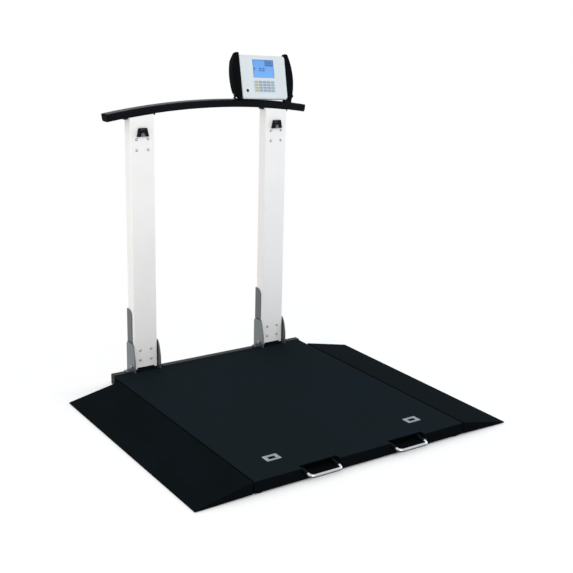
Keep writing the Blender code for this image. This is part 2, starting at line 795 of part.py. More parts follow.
def make_ramp(side, label):
    slope = (DECK_TOP - RAMP_FLOOR_GAP - RAMP_TIP) / RAMP_RUN
    outline = [
        (side * RAMP_INSIDE, SKIRT_BOTTOM),
        (side * RAMP_INSIDE, DECK_TOP),
        (side * RAMP_OUTSIDE, RAMP_FLOOR_GAP + RAMP_TIP),
        (side * RAMP_OUTSIDE, RAMP_FLOOR_GAP),
        (side * (RAMP_OUTSIDE - RAMP_LIP), RAMP_FLOOR_GAP),
    ]
    ramp = plate(f"ramp_{label}", outline, 0, RAMP_LENGTH, FACING_FRONT)
    drop = RAMP_SHEET / math.cos(math.atan(slope))
    inside = RAMP_INSIDE + RAMP_WALL
    outside = RAMP_OUTSIDE - RAMP_LIP
    bay = (RAMP_LENGTH - (RAMP_BAYS + 1) * RAMP_WALL) / RAMP_BAYS
    hollow = [
        (side * inside, SKIRT_BOTTOM - OVER),
        (side * inside, DECK_TOP - slope * RAMP_WALL - drop),
        (side * outside, DECK_TOP - slope * (outside - RAMP_INSIDE) - drop),
        (side * outside, SKIRT_BOTTOM - OVER),
    ]
    bays = []
    for index in range(RAMP_BAYS):
        start = RAMP_WALL + index * (bay + RAMP_WALL)
        bays.append(plate("bay", hollow, start, start + bay, FACING_FRONT))
    cut(ramp, gather(f"ramp_bays_{label}", bays))
    weld(ramp, ramp_studs(side, label))
    carry(ORIGIN, "ramp_coat", ramp)


def ramp_studs(side, label):
    """Studs welded to the ramp's inner wall, with a nut on each inside the deck's skirt."""
    studs = []
    nut = SKIRT_INSIDE - SEAT - RAMP_BOLT_HEAD_HEIGHT
    reach = RAMP_INSIDE + RAMP_WALL - nut
    profile = [
        (0, reach), (RAMP_BOLT_RADIUS, reach), (RAMP_BOLT_RADIUS, RAMP_BOLT_HEAD_HEIGHT),
        (RAMP_BOLT_HEAD, RAMP_BOLT_HEAD_HEIGHT), (RAMP_BOLT_HEAD, 0), (0, 0),
    ]
    for y in RAMP_BOLT_Y:
        turn = Matrix.Rotation(side * math.pi / 2, 4, "Y")
        place = Matrix.Translation((side * nut, y, RAMP_BOLT_Z)) @ turn
        studs.append(turned("stud", profile, place, 6))
    return gather(f"ramp_studs_{label}", studs)


def make_ramp_seal(side, label):
    near = side * (DECK_WIDTH / 2 + SEAT)
    far = side * (RAMP_INSIDE - SEAT)
    top = DECK_TOP - SEAL_SINK
    seal = block(
        f"ramp_seal_{label}",
        (min(near, far), SKIRT_SHEET, top - SEAL_HEIGHT),
        (max(near, far), RAMP_LENGTH - RAMP_WALL, top),
    )
    carry(ORIGIN, "black_rubber", seal)


# Feet on load cells

def make_foot(name, x, y):
    # the pad is flat where it passes under the skirt
    shoulder = SKIRT_INSIDE - FOOT_X - RUN
    rim = SKIRT_BOTTOM - FOOT_RIM_GAP
    profile = [
        (0, FOOT_STEM_TOP),
        (FOOT_STEM_RADIUS, FOOT_STEM_TOP),
        (FOOT_STEM_RADIUS, FOOT_HEIGHT),
        (FOOT_NECK, FOOT_HEIGHT),
        (shoulder, rim),
        (FOOT_RADIUS, rim),
        (FOOT_RADIUS, 0),
        (0, 0),
    ]
    foot = turned(name, profile, Matrix.Translation((x, y, 0)), 16)
    carry(ORIGIN, "black_rubber", foot)


def make_load_cell(name, x, y, inward):
    """A bending beam with a dumb-bell window, its free end over the foot."""
    start = y - inward * CELL_FOOT_MARGIN
    end = start + inward * CELL_LENGTH
    middle = (start + end) / 2
    z = (CELL_BOTTOM + CELL_TOP) / 2
    half = CELL_WINDOW_SPAN / 2
    window = arc((middle + half, z), CELL_WINDOW_RADIUS, -90, 90, 5)
    window += arc((middle - half, z), CELL_WINDOW_RADIUS, 90, 270, 5)
    low, high = min(start, end), max(start, end)
    outline = [(low, CELL_BOTTOM), (high, CELL_BOTTOM), (high, CELL_TOP), (low, CELL_TOP)]
    cell = plate(name, outline, x - CELL_WIDTH / 2, x + CELL_WIDTH / 2, FACING_SIDE, [window])
    bore = rod(f"{name}_bore", (x, y, -OVER), (x, y, CELL_TOP + OVER), FOOT_STEM_RADIUS + RUN)
    cut(cell, bore)
    row = "front" if inward > 0 else "rear"
    side = -1 if x < 0 else 1
    top = CELL_TOP + CELL_BOLT_REACH - SEAT
    profile = [
        (0, top),
        (CELL_BOLT_RADIUS, top),
        (CELL_BOLT_RADIUS, CELL_BOTTOM + WELD),
        (CELL_BOLT_HEAD, CELL_BOTTOM + WELD),
        (CELL_BOLT_HEAD, CELL_BOTTOM - CELL_BOLT_HEAD_HEIGHT),
        (0, CELL_BOTTOM - CELL_BOLT_HEAD_HEIGHT),
    ]
    bolts = [
        turned("bolt", profile, Matrix.Translation((*place, 0)), 8)
        for place in cell_bolt_places(side, row)
    ]
    weld(cell, gather(f"{name}_bolts", bolts))
    carry(ORIGIN, "aluminium", cell)


def make_supports(side, label):
    for row, y, inward in (("front", FOOT_FRONT_Y, 1), ("rear", FOOT_REAR_Y, -1)):
        make_foot(f"foot_{row}_{label}", side * FOOT_X, y)
        make_load_cell(f"load_cell_{row}_{label}", side * FOOT_X, y, inward)


def make_junction_box():
    """The summing box sits between the first two ribs, under the deck."""
    y = RIB_FIRST_Y + RIB_PITCH / 2
    width, height = BOX_WIDTH, BOX_HEIGHT
    depth = RIB_PITCH - RIB_WIDTH - 2 * (RIB_FLANGE + BOX_SIDE_GAP)
    top = DECK_UNDER - SEAT
    box = block(
        "junction_box",
        (HANDLE_X - width / 2, y - depth / 2, top - height),
        (HANDLE_X + width / 2, y + depth / 2, top),
    )
    soften(box, 0.004, 2, lambda p: p.z < 0)
    lid = block(
        "lid_groove",
        (HANDLE_X - width, y - depth, top - height * 0.7),
        (HANDLE_X + width, y + depth, top - height * 0.65),
    )
    core = block(
        "lid_core",
        (HANDLE_X - width / 2 + 0.001, y - depth / 2 + 0.001, top - height),
        (HANDLE_X + width / 2 - 0.001, y + depth / 2 - 0.001, top),
    )
    cut(lid, core)
    cut(box, lid)
    carry(ORIGIN, "grey_coat", box)


# Keepers and pull handles at the deck's front

def keeper_outline(x, gap):
    half_width = KEEPER_WIDTH / 2 + gap
    half_depth = KEEPER_DEPTH / 2 + gap
    low = (x - half_width, KEEPER_Y - half_depth)
    high = (x + half_width, KEEPER_Y + half_depth)
    return rounded(low, high, KEEPER_CORNER + gap, 2)


def make_keeper(side, label):
    """A frame let into the deck flush, so that wheels roll over it."""
    x = side * POST_X
    slot = rounded(
        (x - KEEPER_SLOT_WIDTH / 2, KEEPER_Y - KEEPER_SLOT_DEPTH / 2),
        (x + KEEPER_SLOT_WIDTH / 2, KEEPER_Y + KEEPER_SLOT_DEPTH / 2),
        0.001,
        1,
    )
    keeper = plate(f"keeper_{label}", keeper_outline(x, 0), KEEPER_BOTTOM, DECK_TOP, FLAT, [slot])
    carry(ORIGIN, "bright_steel", keeper)


def make_pull_handle(side, label):
    """A U of round bar whose bent-out ends turn in the pocket's side walls."""
    leg = HANDLE_WIDTH / 2 - HANDLE_ROD_RADIUS
    end = POCKET_WIDTH / 2 + POCKET_SHEET
    half = [(end, 0)]
    half += arc((leg + HANDLE_ELBOW, -HANDLE_ELBOW), HANDLE_ELBOW, 90, 180, 3)
    half += arc((leg - HANDLE_CORNER, HANDLE_CORNER - HANDLE_REACH), HANDLE_CORNER, 0, -90, 4)
    outline = half + [(-x, y) for x, y in reversed(half)]
    path = [(x, y, 0) for x, y in outline]
    place = Matrix.Translation((side * HANDLE_X, HANDLE_PIVOT_Y, HANDLE_PIVOT_Z))
    place = place @ Matrix.Rotation(HANDLE_DROOP, 4, "X")
    handle = bent_rod(f"pull_handle_{label}", path, HANDLE_ROD_RADIUS, place)
    carry(ORIGIN, "bright_steel", handle)


# Rear beam, wheels and axles

def make_beam():
    outer = rounded((BEAM_FRONT, BEAM_BOTTOM), (BEAM_REAR, BEAM_TOP), BEAM_RADIUS, 3)
    inner = rectangle(
        (BEAM_FRONT + BEAM_WALL, BEAM_BOTTOM + BEAM_WALL),
        (BEAM_REAR - BEAM_WALL, BEAM_TOP - BEAM_WALL),
    )
    half = DECK_WIDTH / 2
    beam = plate("rear_beam", outer, -half, half, FACING_SIDE, [inner])
    inside_low = (BEAM_FRONT + BEAM_WALL - WELD, BEAM_BOTTOM + BEAM_WALL - WELD)
    inside_high = (BEAM_REAR - BEAM_WALL + WELD, BEAM_TOP - BEAM_WALL + WELD)
    fills = []
    windows = []
    notches = []
    holes = []
    for side, _ in SIDES:
        cheek = WHEEL_X - WHEEL_WIDTH / 2 - WHEEL_SIDE_GAP
        for near, far in ((cheek - BEAM_WALL, cheek), (half - BEAM_WALL, half - SEAT)):
            fills.append(block(
                "cheek",
                (min(side * near, side * far), inside_low[0], inside_low[1]),
                (max(side * near, side * far), inside_high[0], inside_high[1]),
            ))
        x = side * POST_X
        fills.append(block(
            "bolt_block",
            (x - CHANNEL_INSIDE, inside_low[0], inside_low[1]),
            (x + CHANNEL_INSIDE, inside_high[0], BEAM_NOTCH_FLOOR - SEAT),
        ))
        ends = (side * cheek, side * (half - BEAM_WALL))
        windows.append(block(
            "wheel_window",
            (min(ends), BEAM_FRONT - OVER, BEAM_BOTTOM - OVER),
            (max(ends), BEAM_REAR + OVER, WHEEL_Z + WHEEL_RADIUS + WHEEL_TOP_GAP),
        ))
        notches.append(block(
            "bracket_notch",
            (x - BEAM_NOTCH_LEFT, BEAM_FRONT - OVER, BEAM_NOTCH_FLOOR),
            (x + BEAM_NOTCH_RIGHT, BEAM_REAR + OVER, BEAM_TOP + OVER),
        ))
        low = BASE_TOP - WELD - BRACKET_BOLT_DEPTH
        for bolt_x in (x - BRACKET_BOLT_X, x + BRACKET_BOLT_X):
            holes.append(rod(
                "hole", (bolt_x, LUG_Y, low - RUN), (bolt_x, LUG_Y, BASE_TOP), BRACKET_BOLT_RADIUS + RUN
            ))
        holes.append(rod(
            "hole",
            (x + LUG_X, LUG_Y, BEAM_TOP - BEAM_WALL - OVER),
            (x + LUG_X, LUG_Y, BEAM_TOP + OVER),
            BRACKET_BOLT_RADIUS + RUN,
        ))
        near, far = side * (cheek - BEAM_WALL - OVER), side * (half - BEAM_WALL / 2)
        holes.append(rod(
            "axle_hole", (near, WHEEL_Y, WHEEL_Z), (far, WHEEL_Y, WHEEL_Z), AXLE_RADIUS + RUN
        ))
    weld(beam, gather("beam_fills", fills))
    cut(beam, gather("wheel_windows", windows), gather("bracket_notches", notches))
    cut(beam, gather("beam_holes", holes))
    carry(ORIGIN, "black_coat", beam)


def make_wheel(side, label):
    bore = AXLE_RADIUS + RUN
    half = WHEEL_WIDTH / 2
    chamfer = 0.002
    dish = 0.003
    profile = ring([
        (bore, half),
        (WHEEL_HUB_RADIUS, half),
        (WHEEL_HUB_RADIUS + chamfer, half - dish),
        (WHEEL_RADIUS - 2 * chamfer, half - dish),
        (WHEEL_RADIUS - chamfer, half),
        (WHEEL_RADIUS, half - chamfer),
        (WHEEL_RADIUS, chamfer - half),
        (WHEEL_RADIUS - chamfer, -half),
        (WHEEL_RADIUS - 2 * chamfer, dish - half),
        (WHEEL_HUB_RADIUS + chamfer, dish - half),
        (WHEEL_HUB_RADIUS, -half),
        (bore, -half),
    ])
    place = Matrix.Translation((side * WHEEL_X, WHEEL_Y, WHEEL_Z))
    wheel = turned(f"wheel_{label}", profile, place @ Matrix.Rotation(math.pi / 2, 4, "Y"), 16)
    carry(ORIGIN, "black_rubber", wheel)
    near = side * (WHEEL_X - half - WHEEL_SIDE_GAP - 2 * BEAM_WALL)
    far = side * (DECK_WIDTH / 2 - BEAM_WALL / 2 - RUN)
    axle = rod(
        f"wheel_axle_{label}", (near, WHEEL_Y, WHEEL_Z), (far, WHEEL_Y, WHEEL_Z), AXLE_RADIUS, 10
    )
    carry(ORIGIN, "zinc", axle)


# Brackets that hold the posts

def pin_hole(name, y, z, radius, low, high):
    return rod(name, (low, y, z), (high, y, z), radius + RUN)


def lock_hole(x, start, end):
    return rod("lock_hole", (x, start, LOCK_Z), (x, end, LOCK_Z), LOCK_PIN_RADIUS + RUN)


def make_channel(side, label):
    """The tall U behind and beside a post, rounded at its front top corner."""
    x = side * POST_X
    bottom = BASE_TOP + SEAT
    corner = CHANNEL_CORNER
    outline = [(CHANNEL_FRONT, bottom), (CHANNEL_REAR, bottom), (CHANNEL_REAR, CHANNEL_TOP)]
    outline += arc((CHANNEL_FRONT + corner, CHANNEL_TOP - corner), corner, 90, 180, 6)
    channel = plate(
        f"bracket_channel_{label}", outline, x - CHANNEL_OUTSIDE, x + CHANNEL_OUTSIDE, FACING_SIDE
    )
    cut(channel, block(
        f"channel_inside_{label}",
        (x - CHANNEL_INSIDE, CHANNEL_FRONT - OVER, bottom - OVER),
        (x + CHANNEL_INSIDE, CHANNEL_WEB, CHANNEL_TOP + OVER),
    ))
    sleeve_end = CHANNEL_REAR + LOCK_SLEEVE_LENGTH
    weld(channel, rod(
        f"lock_sleeve_{label}",
        (x, CHANNEL_REAR - WELD, LOCK_Z),
        (x, sleeve_end, LOCK_Z),
        LOCK_SLEEVE_RADIUS,
    ))
    wide = CHANNEL_OUTSIDE + OVER
    pivot = pin_hole("pivot", HINGE_Y, HINGE_Z, HINGE_PIN_RADIUS, x - wide, x + wide)
    lock = lock_hole(x, CHANNEL_WEB - OVER, sleeve_end + OVER)
    cut(channel, gather(f"channel_holes_{label}", [pivot, lock]))
    carry(ORIGIN, "grey_coat", channel)


def gusset_outline():
    points = [
        (BEAM_FRONT + WELD, BASE_BOTTOM),
        (CHANNEL_REAR, BASE_BOTTOM),
        (CHANNEL_REAR, GUSSET_TOP - GUSSET_REAR_CHAMFER),
        (CHANNEL_REAR - GUSSET_REAR_CHAMFER, GUSSET_TOP),
    ]
    points += bend(GUSSET_CROWN, GUSSET_CROWN_PULL, GUSSET_SHOULDER, 6)
    points += [(GUSSET_FRONT, GUSSET_FRONT_BOTTOM), (BEAM_FRONT + WELD, GUSSET_FRONT_BOTTOM)]
    return points


def make_gussets(side, label):
    """Two side plates and a base plate in one weldment, with a foot lug on the left."""
    x = side * POST_X
    left = plate(
        f"bracket_gussets_{label}", gusset_outline(), x - GUSSET_OUTSIDE, x - GUSSET_INSIDE, FACING_SIDE
    )
    right = plate(
        f"right_gusset_{label}", gusset_outline(), x + GUSSET_INSIDE, x + GUSSET_OUTSIDE, FACING_SIDE
    )
    base = block(
        f"base_plate_{label}",
        (x - GUSSET_INSIDE - WELD, BEAM_FRONT + 2 * WELD, BASE_BOTTOM),
        (x + GUSSET_INSIDE + WELD, BEAM_REAR - WELD, BASE_TOP),
    )
    lug = block(
        f"lug_{label}",
        (x - GUSSET_OUTSIDE - LUG_LENGTH, LUG_Y - LUG_DEPTH / 2, LUG_BOTTOM),
        (x - GUSSET_OUTSIDE + WELD, LUG_Y + LUG_DEPTH / 2, LUG_BOTTOM + BASE_SHEET),
    )
    weld(left, base, right, lug)
    bolts = [bracket_bolt("bolt", x + k * BRACKET_BOLT_X, BASE_TOP - WELD) for k in (-1, 1)]
    weld(left, gather(f"base_bolts_{label}", bolts))
    wide = GUSSET_OUTSIDE + OVER
    holes = [
        pin_hole("pivot", HINGE_Y, HINGE_Z, HINGE_PIN_RADIUS, x - wide, x + wide),
        rod(
            "hole",
            (x + LUG_X, LUG_Y, LUG_BOTTOM - WELD),
            (x + LUG_X, LUG_Y, LUG_BOTTOM + BASE_SHEET + WELD),
            BRACKET_BOLT_RADIUS + RUN,
        ),
    ]
    cut(left, gather(f"gusset_holes_{label}", holes))
    carry(ORIGIN, "light_grey_coat", left)
    carry(ORIGIN, "zinc", bracket_bolt(f"lug_bolt_{label}", x + LUG_X, LUG_BOTTOM + BASE_SHEET + SEAT))


def bracket_bolt(name, x, seat):
    """A hexagon bolt whose head presses on a plate at the height of its seat."""
    profile = [
        (0, BRACKET_BOLT_HEAD_HEIGHT),
        (BRACKET_BOLT_HEAD, BRACKET_BOLT_HEAD_HEIGHT),
        (BRACKET_BOLT_HEAD, 0),
        (BRACKET_BOLT_RADIUS, 0),
        (BRACKET_BOLT_RADIUS, -BRACKET_BOLT_DEPTH),
        (0, -BRACKET_BOLT_DEPTH),
    ]
    return turned(name, profile, Matrix.Translation((x, LUG_Y, seat)), 6)


def make_hinge_pin(side, label):
    x = side * POST_X
    reach = GUSSET_OUTSIDE + SEAT
    profile = [
        (0, reach + HINGE_CLIP_WIDTH + 0.0015),
        (HINGE_PIN_RADIUS, reach + HINGE_CLIP_WIDTH + 0.0015),
        (HINGE_PIN_RADIUS, reach + HINGE_CLIP_WIDTH),
        (HINGE_CLIP_RADIUS, reach + HINGE_CLIP_WIDTH),
        (HINGE_CLIP_RADIUS, reach),
        (HINGE_PIN_RADIUS, reach),
        (HINGE_PIN_RADIUS, -reach),
        (HINGE_HEAD_RADIUS, -reach),
        (HINGE_HEAD_RADIUS, -reach - HINGE_HEAD_HEIGHT * 0.6),
        (HINGE_HEAD_RADIUS * 0.75, -reach - HINGE_HEAD_HEIGHT),
        (0, -reach - HINGE_HEAD_HEIGHT),
    ]
    place = Matrix.Translation((x, HINGE_Y, HINGE_Z)) @ Matrix.Rotation(math.pi / 2, 4, "Y")
    pin = turned(f"hinge_pin_{label}", profile, place, 12)
    carry(ORIGIN, "zinc", pin)


def make_lock_pin(side, label):
    """A spring plunger, drawn out: pushed in it enters the hole in the post's rear wall."""
    tip = POST_REAR + LOCK_TIP_GAP - CHANNEL_REAR
    knob = LOCK_SLEEVE_LENGTH + SEAT + LOCK_TRAVEL
    end = knob + LOCK_KNOB_LENGTH
    crown = LOCK_KNOB_LENGTH * 0.2
    profile = [
        (0, end),
        (LOCK_KNOB_RADIUS - 0.002, end),
        (LOCK_KNOB_RADIUS, end - crown),
        (LOCK_KNOB_RADIUS, knob + crown),
        (LOCK_KNOB_RADIUS - 0.001, knob),
        (LOCK_PIN_RADIUS, knob),
        (LOCK_PIN_RADIUS, tip + 0.001),
        (LOCK_PIN_RADIUS - 0.001, tip),
        (0, tip),
    ]
    place = Matrix.Translation((side * POST_X, CHANNEL_REAR, LOCK_Z))
    place = place @ Matrix.Rotation(-math.pi / 2, 4, "X")
    pin = turned(f"lock_pin_{label}", profile, place, 12)
    carry(ORIGIN, "black_plastic", pin)


# Posts with what is fixed inside and on them

def saddle_outline(x, half, thickness, gap):
    """A strip that follows the rail's underside from x - half to x + half."""
    xs = np.linspace(x - half, x + half, 6)
    top = [(u, rail_height(u, -RAIL_HEIGHT / 2 - SEAT + gap)) for u in xs]
    low = [(u, rail_height(u, -RAIL_HEIGHT / 2 - SEAT - thickness - gap)) for u in reversed(xs)]
    return top + low


def make_post(side, label):
    x = side * POST_X
    half = POST_WIDTH / 2
    top = rail_height(abs(x) - half, -RAIL_HEIGHT / 2)
    outer = rounded((x - half, POST_FRONT), (x + half, POST_REAR), POST_RADIUS, 3)
    inner = rectangle(
        (x - half + POST_WALL, POST_FRONT + POST_WALL),
        (x + half - POST_WALL, POST_REAR - POST_WALL),
    )
    post = plate(f"post_{label}", outer, POST_BOTTOM, top + OVER, FLAT, [inner])
    above = saddle_outline(x, half + OVER, -4 * OVER, 0)
    heel = block(
        f"heel_{label}",
        (x - half - OVER, POST_REAR - 2 * POST_WALL, POST_BOTTOM - OVER),
        (x + half + OVER, POST_REAR + OVER, HINGE_Z + WELD),
    )
    toe = block(
        f"toe_{label}",
        (x - POST_NOTCH_WIDTH / 2, POST_FRONT - OVER, POST_BOTTOM - OVER),
        (x + POST_NOTCH_WIDTH / 2, POST_FRONT + POST_WALL + WELD, POST_NOTCH_TOP),
    )
    slot = plate(
        f"saddle_slot_{label}",
        saddle_outline(x, half + OVER, SADDLE_SHEET, RUN),
        POST_MIDDLE - SADDLE_DEPTH / 2 - RUN,
        POST_MIDDLE + SADDLE_DEPTH / 2 + RUN,
        FACING_FRONT,
    )
    holes = [
        pin_hole("pivot", HINGE_Y, HINGE_Z, HINGE_PIN_RADIUS, x - half - OVER, x + half + OVER),
        lock_hole(x, POST_MIDDLE, POST_REAR + OVER),
    ]
    trim = plate(f"post_trim_{label}", above, POST_FRONT - OVER, POST_REAR + OVER, FACING_FRONT)
    cut(post, trim, heel, toe, slot, gather(f"post_holes_{label}", holes))
    weld(post, screw_heads(side, label))
    carry(FOLD, "white_coat", post)


def screw_heads(side, label):
    """Domed heads of the screws that hold the castings inside the post."""
    heads = []
    profile = [
        (0, POST_SCREW_HEAD_HEIGHT),
        (POST_SCREW_HEAD * 0.6, POST_SCREW_HEAD_HEIGHT),
        (POST_SCREW_HEAD, 0),
        (POST_SCREW_HEAD, -WELD),
        (0, -WELD),
    ]
    for z in POST_SCREW_LEVELS:
        for k in (-1, 1):
            place = Matrix.Translation((side * POST_X + k * POST_SCREW_X, POST_FRONT, z))
            heads.append(turned("head", profile, place @ Matrix.Rotation(math.pi / 2, 4, "X"), 8))
    return gather(f"screw_heads_{label}", heads)


def make_hinge_foot(side, label):
    """The casting in a post's lower end, rounded about the pin so that it swings freely."""
    x = side * POST_X
    front = POST_FRONT + POST_WALL + SEAT
    rear = POST_REAR - POST_WALL - SEAT
    round_radius = HINGE_Y - front
    heel_y = POST_REAR - 2 * POST_WALL - POST_WALL
    outline = arc((HINGE_Y, HINGE_Z), round_radius, 180, 270, 5)
    outline += [(heel_y, HINGE_Z - round_radius), (rear, HINGE_Z + WELD), (rear, HINGE_FOOT_TOP)]
    outline += [(front, HINGE_FOOT_TOP)]
    half = POST_WIDTH / 2 - POST_WALL - SEAT
    foot = plate(f"hinge_foot_{label}", outline, x - half, x + half, FACING_SIDE)
    wall = HINGE_FOOT_WALL
    hollow = block(
        f"foot_hollow_{label}",
        (x - half + wall, front + wall, HINGE_Z + HINGE_PIN_RADIUS + wall),
        (x + half - wall, rear - wall, HINGE_FOOT_TOP + OVER),
    )
    holes = [
        pin_hole("pivot", HINGE_Y, HINGE_Z, HINGE_PIN_RADIUS, x - half - OVER, x + half + OVER),
        lock_hole(x, POST_MIDDLE, POST_REAR + OVER),
    ]
    cut(foot, hollow, gather(f"foot_holes_{label}", holes))
    carry(FOLD, "black_coat", foot)


def make_saddle(side, label):
    """The strip under the rail with the plug that the post's top screws hold."""
    x = side * POST_X
    half = POST_WIDTH / 2 + SADDLE_REACH
    strip = plate(
        f"post_saddle_{label}",
        saddle_outline(x, half, SADDLE_SHEET, 0),
        POST_MIDDLE - SADDLE_DEPTH / 2,
        POST_MIDDLE + SADDLE_DEPTH / 2,
        FACING_FRONT,
    )
    front = POST_FRONT + POST_WALL + SEAT
    rear = POST_REAR - POST_WALL - SEAT
    wall = SADDLE_PLUG_WALL
    reach = SADDLE_PLUG_WIDTH / 2
    top = rail_height(abs(x) + reach, -RAIL_HEIGHT / 2 - SADDLE_SHEET) + WELD
    low = SADDLE_PLUG_BOTTOM
    outline = [
        (front, low), (front + wall, low), (front + wall, top - wall), (rear - wall, top - wall),
        (rear - wall, low), (rear, low), (rear, top), (front, top),
    ]
    plug = plate(f"saddle_plug_{label}", outline, x - reach, x + reach, FACING_SIDE)
    weld(strip, plug)
    carry(FOLD, "black_coat", strip)


# Handrail: a hollow section swept along a shallow arc, closed by two caps

def rail_section(inset):
    half_depth = RAIL_DEPTH / 2 - inset
    half_height = RAIL_HEIGHT / 2 - inset
    return rounded((-half_depth, -half_height), (half_depth, half_height), RAIL_CORNER - inset, 3)


def make_rail():
    half = math.asin((RAIL_LENGTH / 2 - RAIL_CAP) / RAIL_RADIUS)
    start = Matrix.Rotation(-half, 3, "Y")
    mesh = bpy.data.meshes.new("handrail")
    points = [start @ Vector((0, y, RAIL_RADIUS + z)) for y, z in rail_section(0)]
    count = len(points)
    mesh.from_pydata(points, [(i, (i + 1) % count) for i in range(count)], [])
    rail = add_object("handrail", mesh, Matrix.Translation((0, POST_MIDDLE, RAIL_CENTRE_Z)))
    sweep = rail.modifiers.new("sweep", "SCREW")
    sweep.axis = "Y"
    sweep.angle = 2 * half
    sweep.steps = RAIL_STEPS
    sweep.render_steps = RAIL_STEPS
    wall = rail.modifiers.new("wall", "SOLIDIFY")
    wall.thickness = RAIL_WALL
    wall.offset = -1
    carry(FOLD, "rail_skin", rail)


def make_rail_cap(side, label):
    """A lid on the rail's end, with a plug that fits its bore."""
    angle = side * math.asin(RAIL_LENGTH / 2 / RAIL_RADIUS)
    lid = plate(f"rail_cap_{label}", rail_section(0), 0, RAIL_CAP - SEAT, FACING_SIDE)
    plug = plate(
        f"cap_plug_{label}", rail_section(RAIL_WALL + RUN), -RAIL_PLUG, WELD, FACING_SIDE
    )
    weld(lid, plug)
    place = Matrix.Translation((0, POST_MIDDLE, RAIL_CENTRE_Z)) @ Matrix.Rotation(angle, 4, "Y")
    place = place @ Matrix.Translation((side * (SEAT - RAIL_CAP), 0, RAIL_RADIUS))
    if side < 0:
        place = place @ Matrix.Rotation(math.pi, 4, "Z")
    lid.matrix_basis = place @ lid.matrix_basis
    carry(FOLD, "black_plastic", lid)


# Latches: a housing on each post with a sliding tongue

def make_latch(side, label):
    x = side * POST_X
    rear = POST_FRONT - SEAT
    face = rear - LATCH_DEPTH
    throat_top = LATCH_BOTTOM + LATCH_TAB_HEIGHT + LATCH_TRAVEL + 2 * SEAT
    outline = [
        (x + LATCH_TOP_WIDTH / 2, LATCH_TOP),
        (x - LATCH_TOP_WIDTH / 2, LATCH_TOP),
        (x - LATCH_FOOT_WIDTH / 2, LATCH_BOTTOM),
        (x - LATCH_LEG_GAP / 2, LATCH_BOTTOM),
        (x - LATCH_THROAT / 2, throat_top),
        (x + LATCH_THROAT / 2, throat_top),
        (x + LATCH_LEG_GAP / 2, LATCH_BOTTOM),
        (x + LATCH_FOOT_WIDTH / 2, LATCH_BOTTOM),
    ]
    housing = plate(f"latch_housing_{label}", outline, face, rear, FACING_FRONT)
    half = LATCH_TONGUE_WIDTH / 2 + RUN
    plate_top = TONGUE_Z + LATCH_TONGUE_ABOVE
    pocket = block(
        f"latch_pocket_{label}",
        (x - half, face + LATCH_FACE, LATCH_BOTTOM - OVER),
        (x + half, rear + OVER, plate_top + LATCH_TRAVEL + RUN),
    )
    slot = block(
        f"latch_slot_{label}",
        (x - half, face - OVER, TONGUE_Z - LATCH_TONGUE_BELOW - RUN),
        (x + half, rear, plate_top + LATCH_TRAVEL + RUN),
    )
    cut(housing, pocket, slot)
    carry(FOLD, "black_plastic", housing)
    back = rear - SEAT
    slide = face + LATCH_FACE + RUN
    tip = face - LATCH_TONGUE_REACH
    low = TONGUE_Z - LATCH_TONGUE_BELOW
    toe_top = plate_top + LATCH_TOE_LENGTH
    profile = [
        (back, LATCH_BOTTOM - SEAT), (back, plate_top), (tip + LATCH_TONGUE_TOE, plate_top),
        (tip + LATCH_TONGUE_TOE, toe_top), (tip + LATCH_TONGUE_TOE / 2, toe_top),
        (tip, toe_top - LATCH_TONGUE_TOE / 2), (tip, low), (slide, low), (slide, LATCH_BOTTOM - SEAT),
    ]
    reach = LATCH_TONGUE_WIDTH / 2
    tongue = plate(f"latch_tongue_{label}", profile, x - reach, x + reach, FACING_SIDE)
    tab = block(
        f"latch_tab_{label}",
        (x - LATCH_THROAT / 2 + WELD, face + RUN, LATCH_BOTTOM),
        (x + LATCH_THROAT / 2 - WELD, slide + WELD, LATCH_BOTTOM + LATCH_TAB_HEIGHT),
    )
    weld(tongue, tab)
    carry(FOLD, "aluminium", tongue)


# Display: housing shells, side bumpers, screen, keypad and what is inside

def make_display_front():
    half_width = DISPLAY_WIDTH / 2
    half_height = DISPLAY_HEIGHT / 2
    outline = rounded((-half_width, -half_height), (half_width, half_height), DISPLAY_CORNER, 3)
    front = plate("display_front", outline, 0, DISPLAY_SPLIT, FACING_FRONT)
    wall = DISPLAY_WALL
    inside = rounded(
        (wall - half_width, wall - half_height),
        (half_width - wall, half_height - wall),
        DISPLAY_CORNER - wall,
        3,
    )
    hollow = plate("front_hollow", inside, wall, DISPLAY_SPLIT + OVER, FACING_FRONT)
    window = block(
        "screen_window", (SCREEN_LEFT, -OVER, SCREEN_LOW), (SCREEN_RIGHT, wall + OVER, SCREEN_HIGH)
    )
    hole = rod(
        "button_hole",
        (BUTTON_X, -OVER, BUTTON_Z),
        (BUTTON_X, wall + OVER, BUTTON_Z),
        BUTTON_RADIUS + RUN,
    )
    cut(front, hollow, window, hole)
    carry_local(DISPLAY, "white_plastic", front)


def back_outline(inset, front):
    """The housing's side view behind the split, sloped at its foot and at its top."""
    half = DISPLAY_HEIGHT / 2 - inset
    rear = DISPLAY_DEPTH - inset
    slope = inset * (math.sqrt(2) - 1)
    return [
        (front, -half),
        (DISPLAY_SPLIT + SEAT - slope, -half),
        (rear, DISPLAY_BACK_LOW + slope),
        (rear, DISPLAY_BACK_HIGH - slope),
        (DISPLAY_TOP_DEPTH - slope, half),
        (front, half),
    ]


